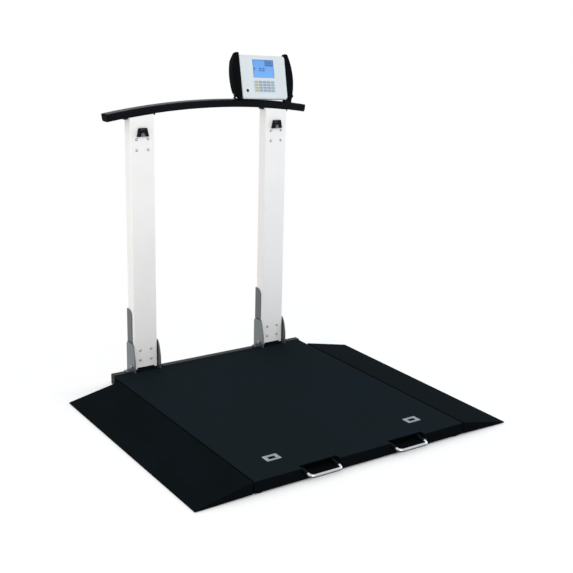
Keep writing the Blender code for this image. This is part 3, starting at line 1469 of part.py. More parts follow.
def make_display_back():
    start = DISPLAY_SPLIT + SEAT
    half_width = DISPLAY_WIDTH / 2
    back = plate("display_back", back_outline(0, start), -half_width, half_width, FACING_SIDE)
    inner_half = half_width - DISPLAY_WALL
    hollow = plate(
        "back_hollow", back_outline(DISPLAY_WALL, -OVER), -inner_half, inner_half, FACING_SIDE
    )
    cut(back, hollow)
    bosses = []
    board_rear = board_front() + BOARD_SHEET
    for x in (-BOSS_X, BOSS_X):
        for z in (BOSS_LOW, BOSS_HIGH):
            bosses.append(rod(
                "boss",
                (x, board_rear + SEAT, z),
                (x, DISPLAY_DEPTH - DISPLAY_WALL + WELD, z),
                BOSS_RADIUS,
                8,
            ))
    weld(back, gather("board_bosses", bosses))
    carry_local(DISPLAY, "white_plastic", back)


def board_front():
    return SEAT + SCREEN_SHEET + SEAT + MODULE_DEPTH + SEAT


def make_bumper(side, label):
    """A crescent seen from the front, trimmed to the housing's side view."""
    spread = math.degrees(math.asin(BUMPER_HALF_CHORD / BUMPER_BOW))
    bow = arc((BUMPER_HALF_WIDTH - BUMPER_BOW, BUMPER_MIDDLE), BUMPER_BOW, -spread, spread, 12)
    outline = [(BUMPER_INSIDE, BUMPER_BOTTOM), *bow, (BUMPER_INSIDE, BUMPER_TOP)]
    outline = [(side * u, v) for u, v in outline]
    bumper = plate(
        f"side_bumper_{label}", outline, -BUMPER_PROUD, DISPLAY_DEPTH + BUMPER_PROUD, FACING_FRONT
    )
    rear = DISPLAY_DEPTH + BUMPER_PROUD
    profile = [
        (-OVER, BUMPER_BOTTOM - OVER),
        (BUMPER_BOTTOM_DEPTH - OVER, BUMPER_BOTTOM - OVER),
        (rear + OVER, BUMPER_BOTTOM + rear - BUMPER_BOTTOM_DEPTH + OVER),
        (rear + OVER, DISPLAY_BACK_HIGH),
        (DISPLAY_TOP_DEPTH, BUMPER_TOP + OVER),
        (-OVER, BUMPER_TOP + OVER),
    ]
    envelope = plate(
        f"bumper_envelope_{label}", profile, -BUMPER_HALF_WIDTH - OVER, BUMPER_HALF_WIDTH + OVER, FACING_SIDE
    )
    boolean(bumper, envelope, "INTERSECT")
    bore = rod(
        f"tilt_bore_{label}",
        (side * (BUMPER_INSIDE - OVER), TILT_Y, TILT_Z),
        (side * (BUMPER_HALF_WIDTH + OVER), TILT_Y, TILT_Z),
        TILT_SCREW_RADIUS + RUN,
        10,
    )
    cut(bumper, bore)
    carry_local(DISPLAY, "black_rubber", bumper)


def yoke_inside():
    """The ears stand just clear of the bumpers' widest place beside them."""
    rise = TILT_Z + YOKE_EAR_RADIUS - BUMPER_MIDDLE
    return BUMPER_HALF_WIDTH - BUMPER_BOW + math.sqrt(BUMPER_BOW**2 - rise**2) + RUN


def make_tilt_screw(side, label):
    head = yoke_inside() + YOKE_SHEET + SEAT
    profile = [
        (0, TILT_SCREW_HEAD_HEIGHT),
        (TILT_SCREW_HEAD * 0.7, TILT_SCREW_HEAD_HEIGHT),
        (TILT_SCREW_HEAD, 0),
        (TILT_SCREW_RADIUS, 0),
        (TILT_SCREW_RADIUS, DISPLAY_WIDTH / 2 + 3 * SEAT - head),
        (0, DISPLAY_WIDTH / 2 + 3 * SEAT - head),
    ]
    place = Matrix.Translation((side * head, TILT_Y, TILT_Z))
    place = place @ Matrix.Rotation(side * math.pi / 2, 4, "Y")
    carry_local(DISPLAY, "black_plastic", turned(f"tilt_screw_{label}", profile, place, 10))


def make_screen():
    window = block(
        "lcd_window",
        (SCREEN_LEFT + SEAT, SEAT, SCREEN_LOW + SEAT),
        (SCREEN_RIGHT - SEAT, SEAT + SCREEN_SHEET, SCREEN_HIGH - SEAT),
    )
    carry_local(DISPLAY, "screen_blue", window)
    front = board_front() - SEAT - MODULE_DEPTH
    border = MODULE_BORDER
    module = block(
        "lcd_module",
        (SCREEN_LEFT - border, DISPLAY_WALL + SEAT, SCREEN_LOW - border),
        (SCREEN_RIGHT + border, front + MODULE_DEPTH, SCREEN_HIGH + border),
    )
    carry_local(DISPLAY, "zinc", module)


def make_keypad():
    rear = -SEAT
    face = rear - KEYPAD_SHEET
    outline = rounded((-KEYPAD_HALF_WIDTH, KEYPAD_LOW), (KEYPAD_HALF_WIDTH, KEYPAD_HIGH), 0.002, 2)
    keypad = plate("keypad", outline, face, rear, FACING_FRONT)
    keys = []
    width = (2 * KEYPAD_HALF_WIDTH - (KEY_COLUMNS + 1) * KEY_GAP) / KEY_COLUMNS
    height = (KEYPAD_HIGH - KEYPAD_LOW - (KEY_ROWS + 1) * KEY_GAP) / KEY_ROWS
    for column in range(KEY_COLUMNS):
        for row in range(KEY_ROWS):
            x = -KEYPAD_HALF_WIDTH + KEY_GAP + column * (width + KEY_GAP)
            z = KEYPAD_LOW + KEY_GAP + row * (height + KEY_GAP)
            keys.append(block(
                "key", (x, face - KEY_PROUD, z), (x + width, face + KEYPAD_SHEET / 2, z + height)
            ))
    weld(keypad, gather("keys", keys))
    carry_local(DISPLAY, "keypad_grey", keypad)


def make_power_button():
    length = board_front() - DISPLAY_WALL - BUTTON_TRAVEL - 0.002
    profile = [
        (0, BUTTON_PROUD),
        (BUTTON_RADIUS * 0.8, BUTTON_PROUD),
        (BUTTON_RADIUS, BUTTON_PROUD * 0.6),
        (BUTTON_RADIUS, -length),
        (0, -length),
    ]
    place = Matrix.Translation((BUTTON_X, 0, BUTTON_Z)) @ Matrix.Rotation(math.pi / 2, 4, "X")
    carry_local(DISPLAY, "black_plastic", turned("power_button", profile, place, 12))


def make_board():
    front = board_front()
    board = block(
        "main_board",
        (-BOARD_HALF_WIDTH, front, BOARD_LOW),
        (BOARD_HALF_WIDTH, front + BOARD_SHEET, BOARD_HIGH),
    )
    length = front - DISPLAY_WALL - BUTTON_TRAVEL - 0.002
    switch = block(
        "power_switch",
        (BUTTON_X - 0.003, length + BUTTON_TRAVEL + RUN, BUTTON_Z - 0.003),
        (BUTTON_X + 0.003, front + WELD, BUTTON_Z + 0.003),
    )
    rear = front + BOARD_SHEET - WELD
    edge = BOARD_HALF_WIDTH
    chips = [
        block("chip", (edge - 0.026, rear, -0.010), (edge - 0.012, rear + 0.003, 0.004)),
        block("chip", (0.014 - edge, rear, 0.010), (0.024 - edge, rear + 0.003, 0.030)),
        block("socket", (-0.020, rear, -0.054), (0.020, rear + 0.008, -0.046)),
    ]
    weld(board, gather("board_pieces", [switch, *chips]))
    carry_local(DISPLAY, "board_green", board)
    width, depth, height = BATTERY_HALF_WIDTH, BATTERY_DEPTH, BATTERY_HEIGHT
    end = DISPLAY_DEPTH - DISPLAY_WALL - SEAT
    battery = block(
        "battery_pack",
        (-width, end - depth, 0.002 - height / 2),
        (width, end, 0.002 + height / 2),
    )
    soften(battery, 0.006, 2, lambda p: abs(p.y) > depth / 4 and abs(p.z) > height / 4)
    carry_local(DISPLAY, "black_plastic", battery)


def make_yoke():
    """A bent strip on the rail whose two ears carry the display's tilt screws."""
    turn = Matrix.Rotation(DISPLAY_ROLL, 4, "Y")
    # the strip lies on the rail where the rail slopes as the display is rolled
    touch_x = DISPLAY_X - YOKE_TOUCH_INSET
    touch = Vector((touch_x, TILT_PLACE.y, rail_height(touch_x, RAIL_HEIGHT / 2)))
    normal = turn.to_3x3() @ Vector((0, 0, 1))
    drop = normal.dot(TILT_PLACE - touch) - SEAT
    inside = yoke_inside()
    outside = inside + YOKE_SHEET
    bend_inside = YOKE_BEND - YOKE_SHEET
    half = [(outside, YOKE_EAR_RADIUS)]
    half += arc((outside - YOKE_BEND, YOKE_BEND - drop), YOKE_BEND, 0, -90, 5)
    inner = arc((outside - YOKE_BEND, YOKE_BEND - drop), bend_inside, -90, 0, 5)
    inner += [(inside, YOKE_EAR_RADIUS)]
    outline = half + [(-u, v) for u, v in reversed(half)] + [(-u, v) for u, v in reversed(inner)] + inner
    front = TILT_PLACE.y - YOKE_EAR_RADIUS
    rear = TILT_PLACE.y + YOKE_SETBACK + YOKE_DEPTH
    yoke = plate("display_bracket", outline, front, rear, FACING_FRONT)
    middle = TILT_PLACE.copy()
    middle.y = 0
    yoke.matrix_basis = Matrix.Translation(middle) @ turn @ yoke.matrix_basis
    # side view of the strip and its ears: round about the screw, a little wider at the rail
    ear = arc((TILT_PLACE.y, 0), YOKE_EAR_RADIUS, 0, 180, 8)
    low = -drop - OVER
    foot = YOKE_SHEET + SEAT - drop
    side_view = [
        *ear,
        (TILT_PLACE.y + YOKE_SETBACK, foot),
        (TILT_PLACE.y + YOKE_SETBACK, low),
        (rear + OVER, low),
        (rear + OVER, foot),
        (TILT_PLACE.y + YOKE_EAR_RADIUS, foot + YOKE_SHEET),
    ]
    wide = outside + OVER
    envelope = plate("yoke_envelope", side_view, -wide, wide, FACING_SIDE)
    envelope.matrix_basis = Matrix.Translation(middle) @ turn @ envelope.matrix_basis
    boolean(yoke, envelope, "INTERSECT")
    bore = rod("yoke_bore", (-wide, TILT_PLACE.y, 0), (wide, TILT_PLACE.y, 0), TILT_SCREW_RADIUS + RUN, 10)
    bore.matrix_basis = Matrix.Translation(middle) @ turn @ bore.matrix_basis
    cut(yoke, bore)
    carry(FOLD, "black_coat", yoke)


def centre_model():
    """Move everything so that the origin is under the middle of the model's box."""
    bpy.context.view_layer.update()
    depsgraph = bpy.context.evaluated_depsgraph_get()
    corners = []
    for obj in PARTS.objects:
        evaluated = obj.evaluated_get(depsgraph)
        mesh = evaluated.to_mesh()
        points = np.empty(len(mesh.vertices) * 3)
        mesh.vertices.foreach_get("co", points)
        evaluated.to_mesh_clear()
        turn = np.array(obj.matrix_world.to_3x3())
        points = points.reshape(-1, 3) @ turn.T + np.array(obj.matrix_world.translation)
        corners += [points.min(axis=0), points.max(axis=0)]
    low = np.min(corners, axis=0)
    high = np.max(corners, axis=0)
    ORIGIN.location = (-(low[0] + high[0]) / 2, -(low[1] + high[1]) / 2, -low[2])
    bpy.context.view_layer.update()
    print("box", (high - low).round(5), "shift", np.array(ORIGIN.location).round(6))


make_deck()
for SIDE, LABEL in SIDES:
    make_ramp(SIDE, LABEL)
    make_ramp_seal(SIDE, LABEL)
    make_supports(SIDE, LABEL)
    make_keeper(SIDE, LABEL)
    make_pull_handle(SIDE, LABEL)
    make_wheel(SIDE, LABEL)
    make_channel(SIDE, LABEL)
    make_gussets(SIDE, LABEL)
    make_hinge_pin(SIDE, LABEL)
    make_lock_pin(SIDE, LABEL)
    make_post(SIDE, LABEL)
    make_hinge_foot(SIDE, LABEL)
    make_saddle(SIDE, LABEL)
    make_latch(SIDE, LABEL)
    make_rail_cap(SIDE, LABEL)
    make_bumper(SIDE, LABEL)
    make_tilt_screw(SIDE, LABEL)
make_junction_box()
make_beam()
make_rail()
make_yoke()
make_display_front()
make_display_back()
make_screen()
make_keypad()
make_power_button()
make_board()
centre_model()
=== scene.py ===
import json
import math
import bpy
import numpy as np
from mathutils import Matrix, Vector


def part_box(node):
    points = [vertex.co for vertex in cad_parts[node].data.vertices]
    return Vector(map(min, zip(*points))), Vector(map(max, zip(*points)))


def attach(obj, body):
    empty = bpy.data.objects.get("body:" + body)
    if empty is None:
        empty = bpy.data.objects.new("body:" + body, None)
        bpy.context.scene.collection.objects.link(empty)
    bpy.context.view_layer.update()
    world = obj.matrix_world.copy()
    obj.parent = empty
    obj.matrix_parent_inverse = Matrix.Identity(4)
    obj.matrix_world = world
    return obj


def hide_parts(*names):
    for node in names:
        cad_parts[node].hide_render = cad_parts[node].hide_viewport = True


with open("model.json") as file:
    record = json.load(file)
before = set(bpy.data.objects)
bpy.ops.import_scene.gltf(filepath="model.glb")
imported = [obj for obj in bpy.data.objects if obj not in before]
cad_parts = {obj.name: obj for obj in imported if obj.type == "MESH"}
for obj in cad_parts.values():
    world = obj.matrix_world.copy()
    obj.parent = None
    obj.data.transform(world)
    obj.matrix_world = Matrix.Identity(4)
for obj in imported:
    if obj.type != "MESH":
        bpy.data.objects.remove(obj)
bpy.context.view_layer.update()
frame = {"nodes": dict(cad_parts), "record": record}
nodes = frame["nodes"]
sides = {"left": -1, "right": 1}
frontEdge = -0.497351                 # y of the deck's front edge, from which depths are counted
postX = 0.277                         # how far out the posts stand
foldAxis = (0.474149, 0.066)          # y and z of the axis on which the posts fold

view = {
    "place": (-1.8411, -2.7523, 1.4144),
    "right": (0.83267, -0.55332, 0.02229),
    "down": (-0.13685, -0.24462, -0.95991),
    "forward": (0.53659, 0.79624, -0.27941),
    "lens": 64.215,
    "shift": (0.00524, -0.00192),
}

lights = {
    "world": 0.80,                    # soft light from all round
    "key": {"place": (-1.2, -2.8, 2.2), "size": 2.4, "power": 45, "aim": (0, 0, 0.5), "colour": (1, 1, 1)},
    "side": {"place": (-3.4, 0.2, 1.5), "size": 2.6, "power": 22, "aim": (-0.2, 0.2, 0.6), "colour": (1, 1, 1)},
    "fill": {"place": (3.4, -0.2, 1.2), "size": 2.4, "power": 60, "aim": (0.4, 0, 0), "colour": (0.5, 0.73, 1)},
    "rim": {"place": (0.6, 3.0, 2.8), "size": 2.2, "power": 22, "aim": (0, 0, 0.3), "colour": (0.8, 0.9, 1)},
}

# the floor is whiter the further it lies from the scale; near and under it the real shadow shows
floorLook = {
    "size": 60, "colour": (0.86, 0.86, 0.86), "rough": 0.9,
    "halfWidth": 0.56, "halfDepth": 0.47,                     # the shaded field
    "near": 0.0, "middle": 0.92, "middleAt": 0.09, "farAt": 1.2,
}


# a screen colour of 0 to 255 as linear light
def linear(level):
    share = level / 255
    return share / 12.92 if share <= 0.04045 else ((share + 0.055) / 1.055) ** 2.4


def tint(colour):
    return (*[linear(level) for level in colour], 1)


# outlines: points of a circle, centre + radius (cos, sin), from one angle to the other in degrees
def arcPoints(centre, radius, start, end, steps):
    angles = np.radians(np.linspace(start, end, steps + 1))
    return np.stack([centre[0] + radius * np.cos(angles), centre[1] + radius * np.sin(angles)], 1)


# a rectangle whose corners are quarter circles
def roundRect(low, high, radius, steps=6):
    corners = ((high[0] - radius, high[1] - radius, 0), (low[0] + radius, high[1] - radius, 90),
               (low[0] + radius, low[1] + radius, 180), (high[0] - radius, low[1] + radius, 270))
    return np.concatenate([arcPoints((x, y), radius, start, start + 90, steps) for x, y, start in corners])


# each point of a closed outline goes in along the mean of its two edges' normals, divided by the cosine of
# half the turn, so that both edges move in by the amount; several amounts give several outlines
def inset(outline, amount):
    ahead = np.roll(outline, -1, 0) - outline
    behind = outline - np.roll(outline, 1, 0)
    normalA = np.stack([-ahead[:, 1], ahead[:, 0]], 1)
    normalB = np.stack([-behind[:, 1], behind[:, 0]], 1)
    normalA /= np.maximum(np.linalg.norm(normalA, axis=1, keepdims=True), 1e-9)
    normalB /= np.maximum(np.linalg.norm(normalB, axis=1, keepdims=True), 1e-9)
    normal = normalA + normalB
    normal /= np.maximum(np.linalg.norm(normal, axis=1, keepdims=True), 1e-9)
    share = np.maximum(np.sum(normal * normalA, 1, keepdims=True), 0.5)
    return outline + normal * amount / share


# quads between neighbouring rings of a lattice of points, and one face over each end ring
def latticeFaces(rows, columns, start, caps):
    i = np.arange(rows - 1)[:, None]
    j = np.arange(columns)[None, :]
    k = (j + 1) % columns
    quads = np.stack([i * columns + j, i * columns + k, (i + 1) * columns + k, (i + 1) * columns + j], -1)
    faces = (quads.reshape(-1, 4) + start).tolist()
    if caps:
        faces.append((np.arange(columns)[::-1] + start).tolist())
        faces.append((np.arange(columns) + (rows - 1) * columns + start).tolist())
    return faces


# several lattices in one mesh; each is an array of rings of points
def latticeGroup(name, grids, caps=True, sharp=35):
    points, faces, start = [], [], 0
    for grid in grids:
        grid = np.asarray(grid, float)
        points.append(grid.reshape(-1, 3))
        faces += latticeFaces(grid.shape[0], grid.shape[1], start, caps)
        start += grid.shape[0] * grid.shape[1]
    mesh = bpy.data.meshes.new(name)
    mesh.from_pydata(np.concatenate(points).tolist(), [], faces)
    mesh.update()
    mesh.shade_smooth()
    mesh.set_sharp_from_angle(angle=math.radians(sharp))
    obj = bpy.data.objects.new(name, mesh)
    bpy.context.scene.collection.objects.link(obj)
    return obj


def lattice(name, grid, caps=True, sharp=35):
    return latticeGroup(name, [grid], caps, sharp)


def moved(grid, place):
    return np.asarray(grid, float) @ np.array(place.to_3x3()).T + np.array(place.translation)


# one outline after the other, each lifted to its height
def stacked(outlines, heights):
    heights = np.asarray(heights, float)[:, None, None] * np.ones((1, outlines.shape[1], 1))
    return np.concatenate([outlines, heights], -1)


# a flat outline (counter-clockwise) with rounded rims: rings step in by r(1 - sin) and rise by r(1 - cos)
def slabGrid(outline, low, high, rim, place, steps=3):
    turns = np.linspace(0, math.pi / 2, steps + 1)
    amounts = rim * (1 - np.sin(turns))
    lifts = rim * (1 - np.cos(turns))
    amounts = np.concatenate([amounts, amounts[::-1]])[:, None, None]
    heights = np.concatenate([low + lifts, high - lifts[::-1]])
    return moved(stacked(inset(np.asarray(outline, float), amounts), heights), place)


# a profile of (radius, height) turned about z: (radius cos, radius sin, height)
def latheGrid(profile, place, count=32):
    angles = np.linspace(0, 2 * math.pi, count, endpoint=False)
    profile = np.asarray(profile, float)
    grid = np.stack([
        profile[:, :1] * np.cos(angles), profile[:, :1] * np.sin(angles), profile[:, 1:] * np.ones(count),
    ], -1)
    return moved(grid, place)


# a circle carried along a flat path: path + radius (cos side + sin up), where side is square to the path's
# tangent and to the reference, and up is square to both
def tubeGrid(path, radius, count=20):
    path = np.asarray(path, float)
    radii = np.broadcast_to(np.asarray(radius, float), (len(path),))
    tangents = np.gradient(path, axis=0)
    tangents /= np.linalg.norm(tangents, axis=1, keepdims=True)
    reference = (0, 0, 1) if abs(tangents[0][2]) < 0.9 else (1, 0, 0)
    across = np.cross(tangents, reference)
    across /= np.linalg.norm(across, axis=1, keepdims=True)
    up = np.cross(tangents, across)
    angles = np.linspace(0, 2 * math.pi, count, endpoint=False)[:, None]
    circle = np.cos(angles) * across[:, None] + np.sin(angles) * up[:, None]
    return path[:, None] + radii[:, None, None] * circle


facingFront = Matrix.Rotation(math.pi / 2, 4, "X")      # outline x, z; its depth runs towards -y
facingBack = Matrix.Rotation(-math.pi / 2, 4, "X")      # its depth runs towards +y
alongX = Matrix.Rotation(math.pi / 2, 4, "Y")           # its depth runs towards +x
sideways = Matrix.Rotation(math.pi / 2, 4, "Z") @ facingFront  # outline y, z; depth +x


def at(x, y, z):
    return Matrix.Translation((x, y, z))


def middle(name):
    low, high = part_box(name)
    return (Vector(low) + Vector(high)) / 2


# node groups for the finishes

def newGroup(name, inputs, outputs):
    group = bpy.data.node_groups.new(name, "ShaderNodeTree")
    for title, kind, value in inputs:
        socket = group.interface.new_socket(name=title, in_out="INPUT", socket_type=kind)
        socket.default_value = value
    for title, kind in outputs:
        group.interface.new_socket(name=title, in_out="OUTPUT", socket_type=kind)
    return group, group.nodes.new("NodeGroupInput"), group.nodes.new("NodeGroupOutput")


def addNode(tree, kind, **values):
    node = tree.nodes.new(kind)
    for key, value in values.items():
        node.inputs[key.replace("_", " ")].default_value = value
    return node


def mathNode(tree, operation, first, second=None, clamp=False):
    node = tree.nodes.new("ShaderNodeMath")
    node.operation = operation
    node.use_clamp = clamp
    for index, value in enumerate((first, second)):
        if value is None:
            continue
        if isinstance(value, (int, float)):
            node.inputs[index].default_value = value
        else:
            tree.links.new(value, node.inputs[index])
    return node.outputs[0]


def mixColour(tree, factor, first, second):
    node = tree.nodes.new("ShaderNodeMix")
    node.data_type = "RGBA"
    for socket, value in ((node.inputs[0], factor), (node.inputs[6], first), (node.inputs[7], second)):
        if isinstance(value, (int, float, tuple)):
            socket.default_value = value
        else:
            tree.links.new(value, socket)
    return node.outputs[2]


def noise(tree, vector, scale, detail=2.0, rough=0.5):
    node = addNode(tree, "ShaderNodeTexNoise", Detail=detail, Roughness=rough)
    tree.links.new(vector, node.inputs["Vector"])
    if isinstance(scale, (int, float)):
        node.inputs["Scale"].default_value = scale
    else:
        tree.links.new(scale, node.inputs["Scale"])
    return node.outputs["Fac"]


# 0 up to the low value, 1 from the high value on
def ramp(tree, factor, low, high):
    node = addNode(tree, "ShaderNodeMapRange", From_Min=low, From_Max=high)
    tree.links.new(factor, node.inputs["Value"])
    return node.outputs[0]


def objectCoords(tree):
    return tree.nodes.new("ShaderNodeTexCoord").outputs["Object"]


def splitPlace(tree, vector):
    split = tree.nodes.new("ShaderNodeSeparateXYZ")
    tree.links.new(vector, split.inputs[0])
    return split.outputs


finishOutputs = [("Colour", "NodeSocketColor"), ("Roughness", "NodeSocketFloat"), ("Height", "NodeSocketFloat")]


# patches vary the colour, fine grain the roughness and the surface
def grainGroup():
    group, source, sink = newGroup("finish_grain", [
        ("Colour", "NodeSocketColor", (0.5, 0.5, 0.5, 1)),
        ("Patch Colour", "NodeSocketColor", (0.4, 0.4, 0.4, 1)),
        ("Patch Scale", "NodeSocketFloat", 6.0), ("Grain Scale", "NodeSocketFloat", 900.0),
        ("Roughness", "NodeSocketFloat", 0.5), ("Roughness Spread", "NodeSocketFloat", 0.1),
    ], finishOutputs)
    coords = objectCoords(group)
    patches = ramp(group, noise(group, coords, source.outputs["Patch Scale"], 4.0, 0.6), 0.32, 0.68)
    grain = noise(group, coords, source.outputs["Grain Scale"], 2.0, 0.6)
    colour = mixColour(group, patches, source.outputs["Colour"], source.outputs["Patch Colour"])
    spread = source.outputs["Roughness Spread"]
    fine = mathNode(group, "MULTIPLY", mathNode(group, "SUBTRACT", grain, 0.5), spread)
    wide = mathNode(group, "MULTIPLY", mathNode(group, "SUBTRACT", patches, 0.5), spread)
    rough = mathNode(group, "ADD", mathNode(group, "ADD", source.outputs["Roughness"], fine), wide, True)
    group.links.new(colour, sink.inputs["Colour"])
    group.links.new(rough, sink.inputs["Roughness"])
    group.links.new(grain, sink.inputs["Height"])
    return group


# long thin streaks for brushed, rolled or drawn metal
def brushedGroup():
    group, source, sink = newGroup("finish_brushed", [
        ("Colour", "NodeSocketColor", (0.5, 0.5, 0.5, 1)),
        ("Streak Colour", "NodeSocketColor", (0.4, 0.4, 0.4, 1)),
        ("Stretch", "NodeSocketVector", (40, 40, 900)), ("Roughness", "NodeSocketFloat", 0.3),
        ("Roughness Spread", "NodeSocketFloat", 0.1),
    ], finishOutputs)
    coords = objectCoords(group)
    scaled = group.nodes.new("ShaderNodeVectorMath")
    scaled.operation = "MULTIPLY"
    group.links.new(coords, scaled.inputs[0])
    group.links.new(source.outputs["Stretch"], scaled.inputs[1])
    streaks = noise(group, scaled.outputs[0], 1.0, 3.0, 0.55)
    cloud = noise(group, coords, 18.0, 3.0, 0.6)
    share = ramp(group, streaks, 0.3, 0.7)
    colour = mixColour(group, share, source.outputs["Colour"], source.outputs["Streak Colour"])
    fine = mathNode(group, "SUBTRACT", streaks, 0.5)
    wide = mathNode(group, "SUBTRACT", cloud, 0.5)
    both = mathNode(group, "ADD", fine, wide)
    change = mathNode(group, "MULTIPLY", both, source.outputs["Roughness Spread"])
    group.links.new(colour, sink.inputs["Colour"])
    group.links.new(mathNode(group, "ADD", source.outputs["Roughness"], change, True), sink.inputs["Roughness"])
    group.links.new(streaks, sink.inputs["Height"])
    return group


grain = grainGroup()
brushed = brushedGroup()


def newMaterial(name):
    material = bpy.data.materials.new(name)
    material.use_nodes = True
    tree = material.node_tree
    return material, tree, tree.nodes["Principled BSDF"]


def addBump(tree, shader, height, strength, distance):
    bump = addNode(tree, "ShaderNodeBump", Strength=strength, Distance=distance)
    tree.links.new(height, bump.inputs["Height"])
    tree.links.new(bump.outputs[0], shader.inputs["Normal"])


# a material of one group and what its look sets; the group's own values come in addition
def finishMaterial(name, look, group, metal, **values):
    material, tree, shader = newMaterial(name)
    node = tree.nodes.new("ShaderNodeGroup")
    node.node_tree = group
    values.update(Colour=tint(look["colour"]), Roughness=look["rough"], Roughness_Spread=look["spread"])
    for title, value in values.items():
        node.inputs[title.replace("_", " ")].default_value = value
    tree.links.new(node.outputs["Colour"], shader.inputs["Base Color"])
    tree.links.new(node.outputs["Roughness"], shader.inputs["Roughness"])
    addBump(tree, shader, node.outputs["Height"], look["bump"], look["depth"])
    shader.inputs["Metallic"].default_value = look.get("metal", metal)
    shader.inputs["Specular IOR Level"].default_value = look.get("specular", 0.5)
    return material


def grainMaterial(name, look):
    return finishMaterial(name, look, grain, 0.0, Patch_Colour=tint(look["patch"]),
                          Patch_Scale=look["patchScale"], Grain_Scale=look["grainScale"])


def brushedMaterial(name, look):
    return finishMaterial(name, look, brushed, 1.0, Streak_Colour=tint(look["streak"]), Stretch=look["stretch"])


grainLooks = {
    "deck_coat": {"colour": (20, 26, 28), "patch": (21, 29, 34), "patchScale": 5.0, "grainScale": 420.0,
                  "rough": 0.74, "spread": 0.16, "bump": 0.5, "depth": 0.0007, "specular": 0.005},
    "ramp_coat": {"colour": (10, 15, 17), "patch": (13, 19, 22), "patchScale": 8.0, "grainScale": 420.0,
                  "rough": 0.76, "spread": 0.14, "bump": 0.5, "depth": 0.0007, "specular": 0.005},
    "black_coat": {"colour": (8, 11, 14), "patch": (11, 15, 19), "patchScale": 20.0, "grainScale": 1500.0,
                   "rough": 0.46, "spread": 0.10, "bump": 0.15, "depth": 0.0002, "specular": 0.12},
    "rail_skin": {"colour": (5, 7, 10), "patch": (8, 10, 14), "patchScale": 30.0, "grainScale": 2200.0,
                  "rough": 0.46, "spread": 0.10, "bump": 0.25, "depth": 0.0002, "specular": 0.06},
    "white_coat": {"colour": (234, 232, 229), "patch": (230, 228, 225), "patchScale": 5.0, "grainScale": 1400.0,
                   "rough": 0.42, "spread": 0.08, "bump": 0.10, "depth": 0.0002, "specular": 0.35},
    "black_rubber": {"colour": (5, 7, 9), "patch": (7, 9, 11), "patchScale": 40.0, "grainScale": 1800.0,
                     "rough": 0.66, "spread": 0.14, "bump": 0.3, "depth": 0.0002, "specular": 0.03},
    "black_plastic": {"colour": (7, 8, 9), "patch": (10, 11, 13), "patchScale": 50.0, "grainScale": 3000.0,
                      "rough": 0.42, "spread": 0.10, "bump": 0.2, "depth": 0.0001, "specular": 0.12},
    "white_plastic": {"colour": (207, 213, 213), "patch": (201, 208, 210), "patchScale": 12.0,
                      "grainScale": 3000.0, "rough": 0.38, "spread": 0.08, "bump": 0.12, "depth": 0.0001,
                      "specular": 0.45},
    "board_green": {"colour": (18, 82, 48), "patch": (26, 100, 60), "patchScale": 60.0, "grainScale": 900.0,
                    "rough": 0.40, "spread": 0.1, "bump": 0.15, "depth": 0.0001},
}

brushedLooks = {
    # grey_coat and light_grey_coat are one steel coat: their two greys are painted light and shade, a lit and a
    # shaded copy
    "grey_coat": {"colour": (90, 95, 97), "streak": (98, 103, 105), "stretch": (1400, 1400, 60),
                  "rough": 0.40, "spread": 0.10, "bump": 0.10, "depth": 0.0001, "metal": 0.75},
    "light_grey_coat": {"colour": (106, 111, 114), "streak": (116, 121, 124), "stretch": (1400, 1400, 60),
                        "rough": 0.38, "spread": 0.10, "bump": 0.10, "depth": 0.0001, "metal": 0.75},
    "bright_steel": {"colour": (205, 207, 210), "streak": (190, 193, 196), "stretch": (30, 900, 900),
                     "rough": 0.16, "spread": 0.08, "bump": 0.05, "depth": 0.0001},
    "zinc": {"colour": (160, 163, 166), "streak": (138, 142, 146), "stretch": (60, 600, 600),
             "rough": 0.34, "spread": 0.14, "bump": 0.08, "depth": 0.0001},
    "satin_steel": {"colour": (150, 155, 160), "streak": (128, 134, 140), "stretch": (900, 60, 900),
                    "rough": 0.30, "spread": 0.12, "bump": 0.06, "depth": 0.0001},
    "dark_steel": {"colour": (128, 126, 134), "streak": (108, 106, 114), "stretch": (600, 600, 60),
                   "rough": 0.44, "spread": 0.12, "bump": 0.08, "depth": 0.0001, "metal": 0.8},
    "aluminium": {"colour": (190, 192, 194), "streak": (172, 175, 178), "stretch": (500, 24, 500),
                  "rough": 0.36, "spread": 0.12, "bump": 0.08, "depth": 0.0001},
}

# plain black below the deck's tread, in front of the ramps' treads, and on the latch tongues above a given
# height, with steel below it
plainBlack = (9, 12, 14)
blackBefore = {
    "deck_coat": {"axis": 2, "from": 0.0436, "to": 0.0446},
    "ramp_coat": {"axis": 1, "from": -0.4972, "to": -0.4962},
    "dark_steel": {"axis": 2, "from": 0.9240, "to": 0.9195},
}


def paintBlack(material, look):
    tree = material.node_tree
    base = tree.nodes["Principled BSDF"].inputs["Base Color"]
    coated = ramp(tree, splitPlace(tree, objectCoords(tree))[look["axis"]], look["from"], look["to"])
    tree.links.new(mixColour(tree, coated, tint(plainBlack), base.links[0].from_socket), base)


materials = {slotName: grainMaterial(f"finish_{slotName}", look) for slotName, look in grainLooks.items()}
materials |= {slotName: brushedMaterial(f"finish_{slotName}", look) for slotName, look in brushedLooks.items()}
for slotName, look in blackBefore.items():
    paintBlack(materials[slotName], look)


def dress(obj, material):
    obj.data.materials.clear()
    obj.data.materials.append(material)


def add(obj, material, body, replaced=()):
    dress(obj, materials[material] if isinstance(material, str) else material)
    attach(obj, body)
    if replaced:
        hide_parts(*replaced)
    return obj


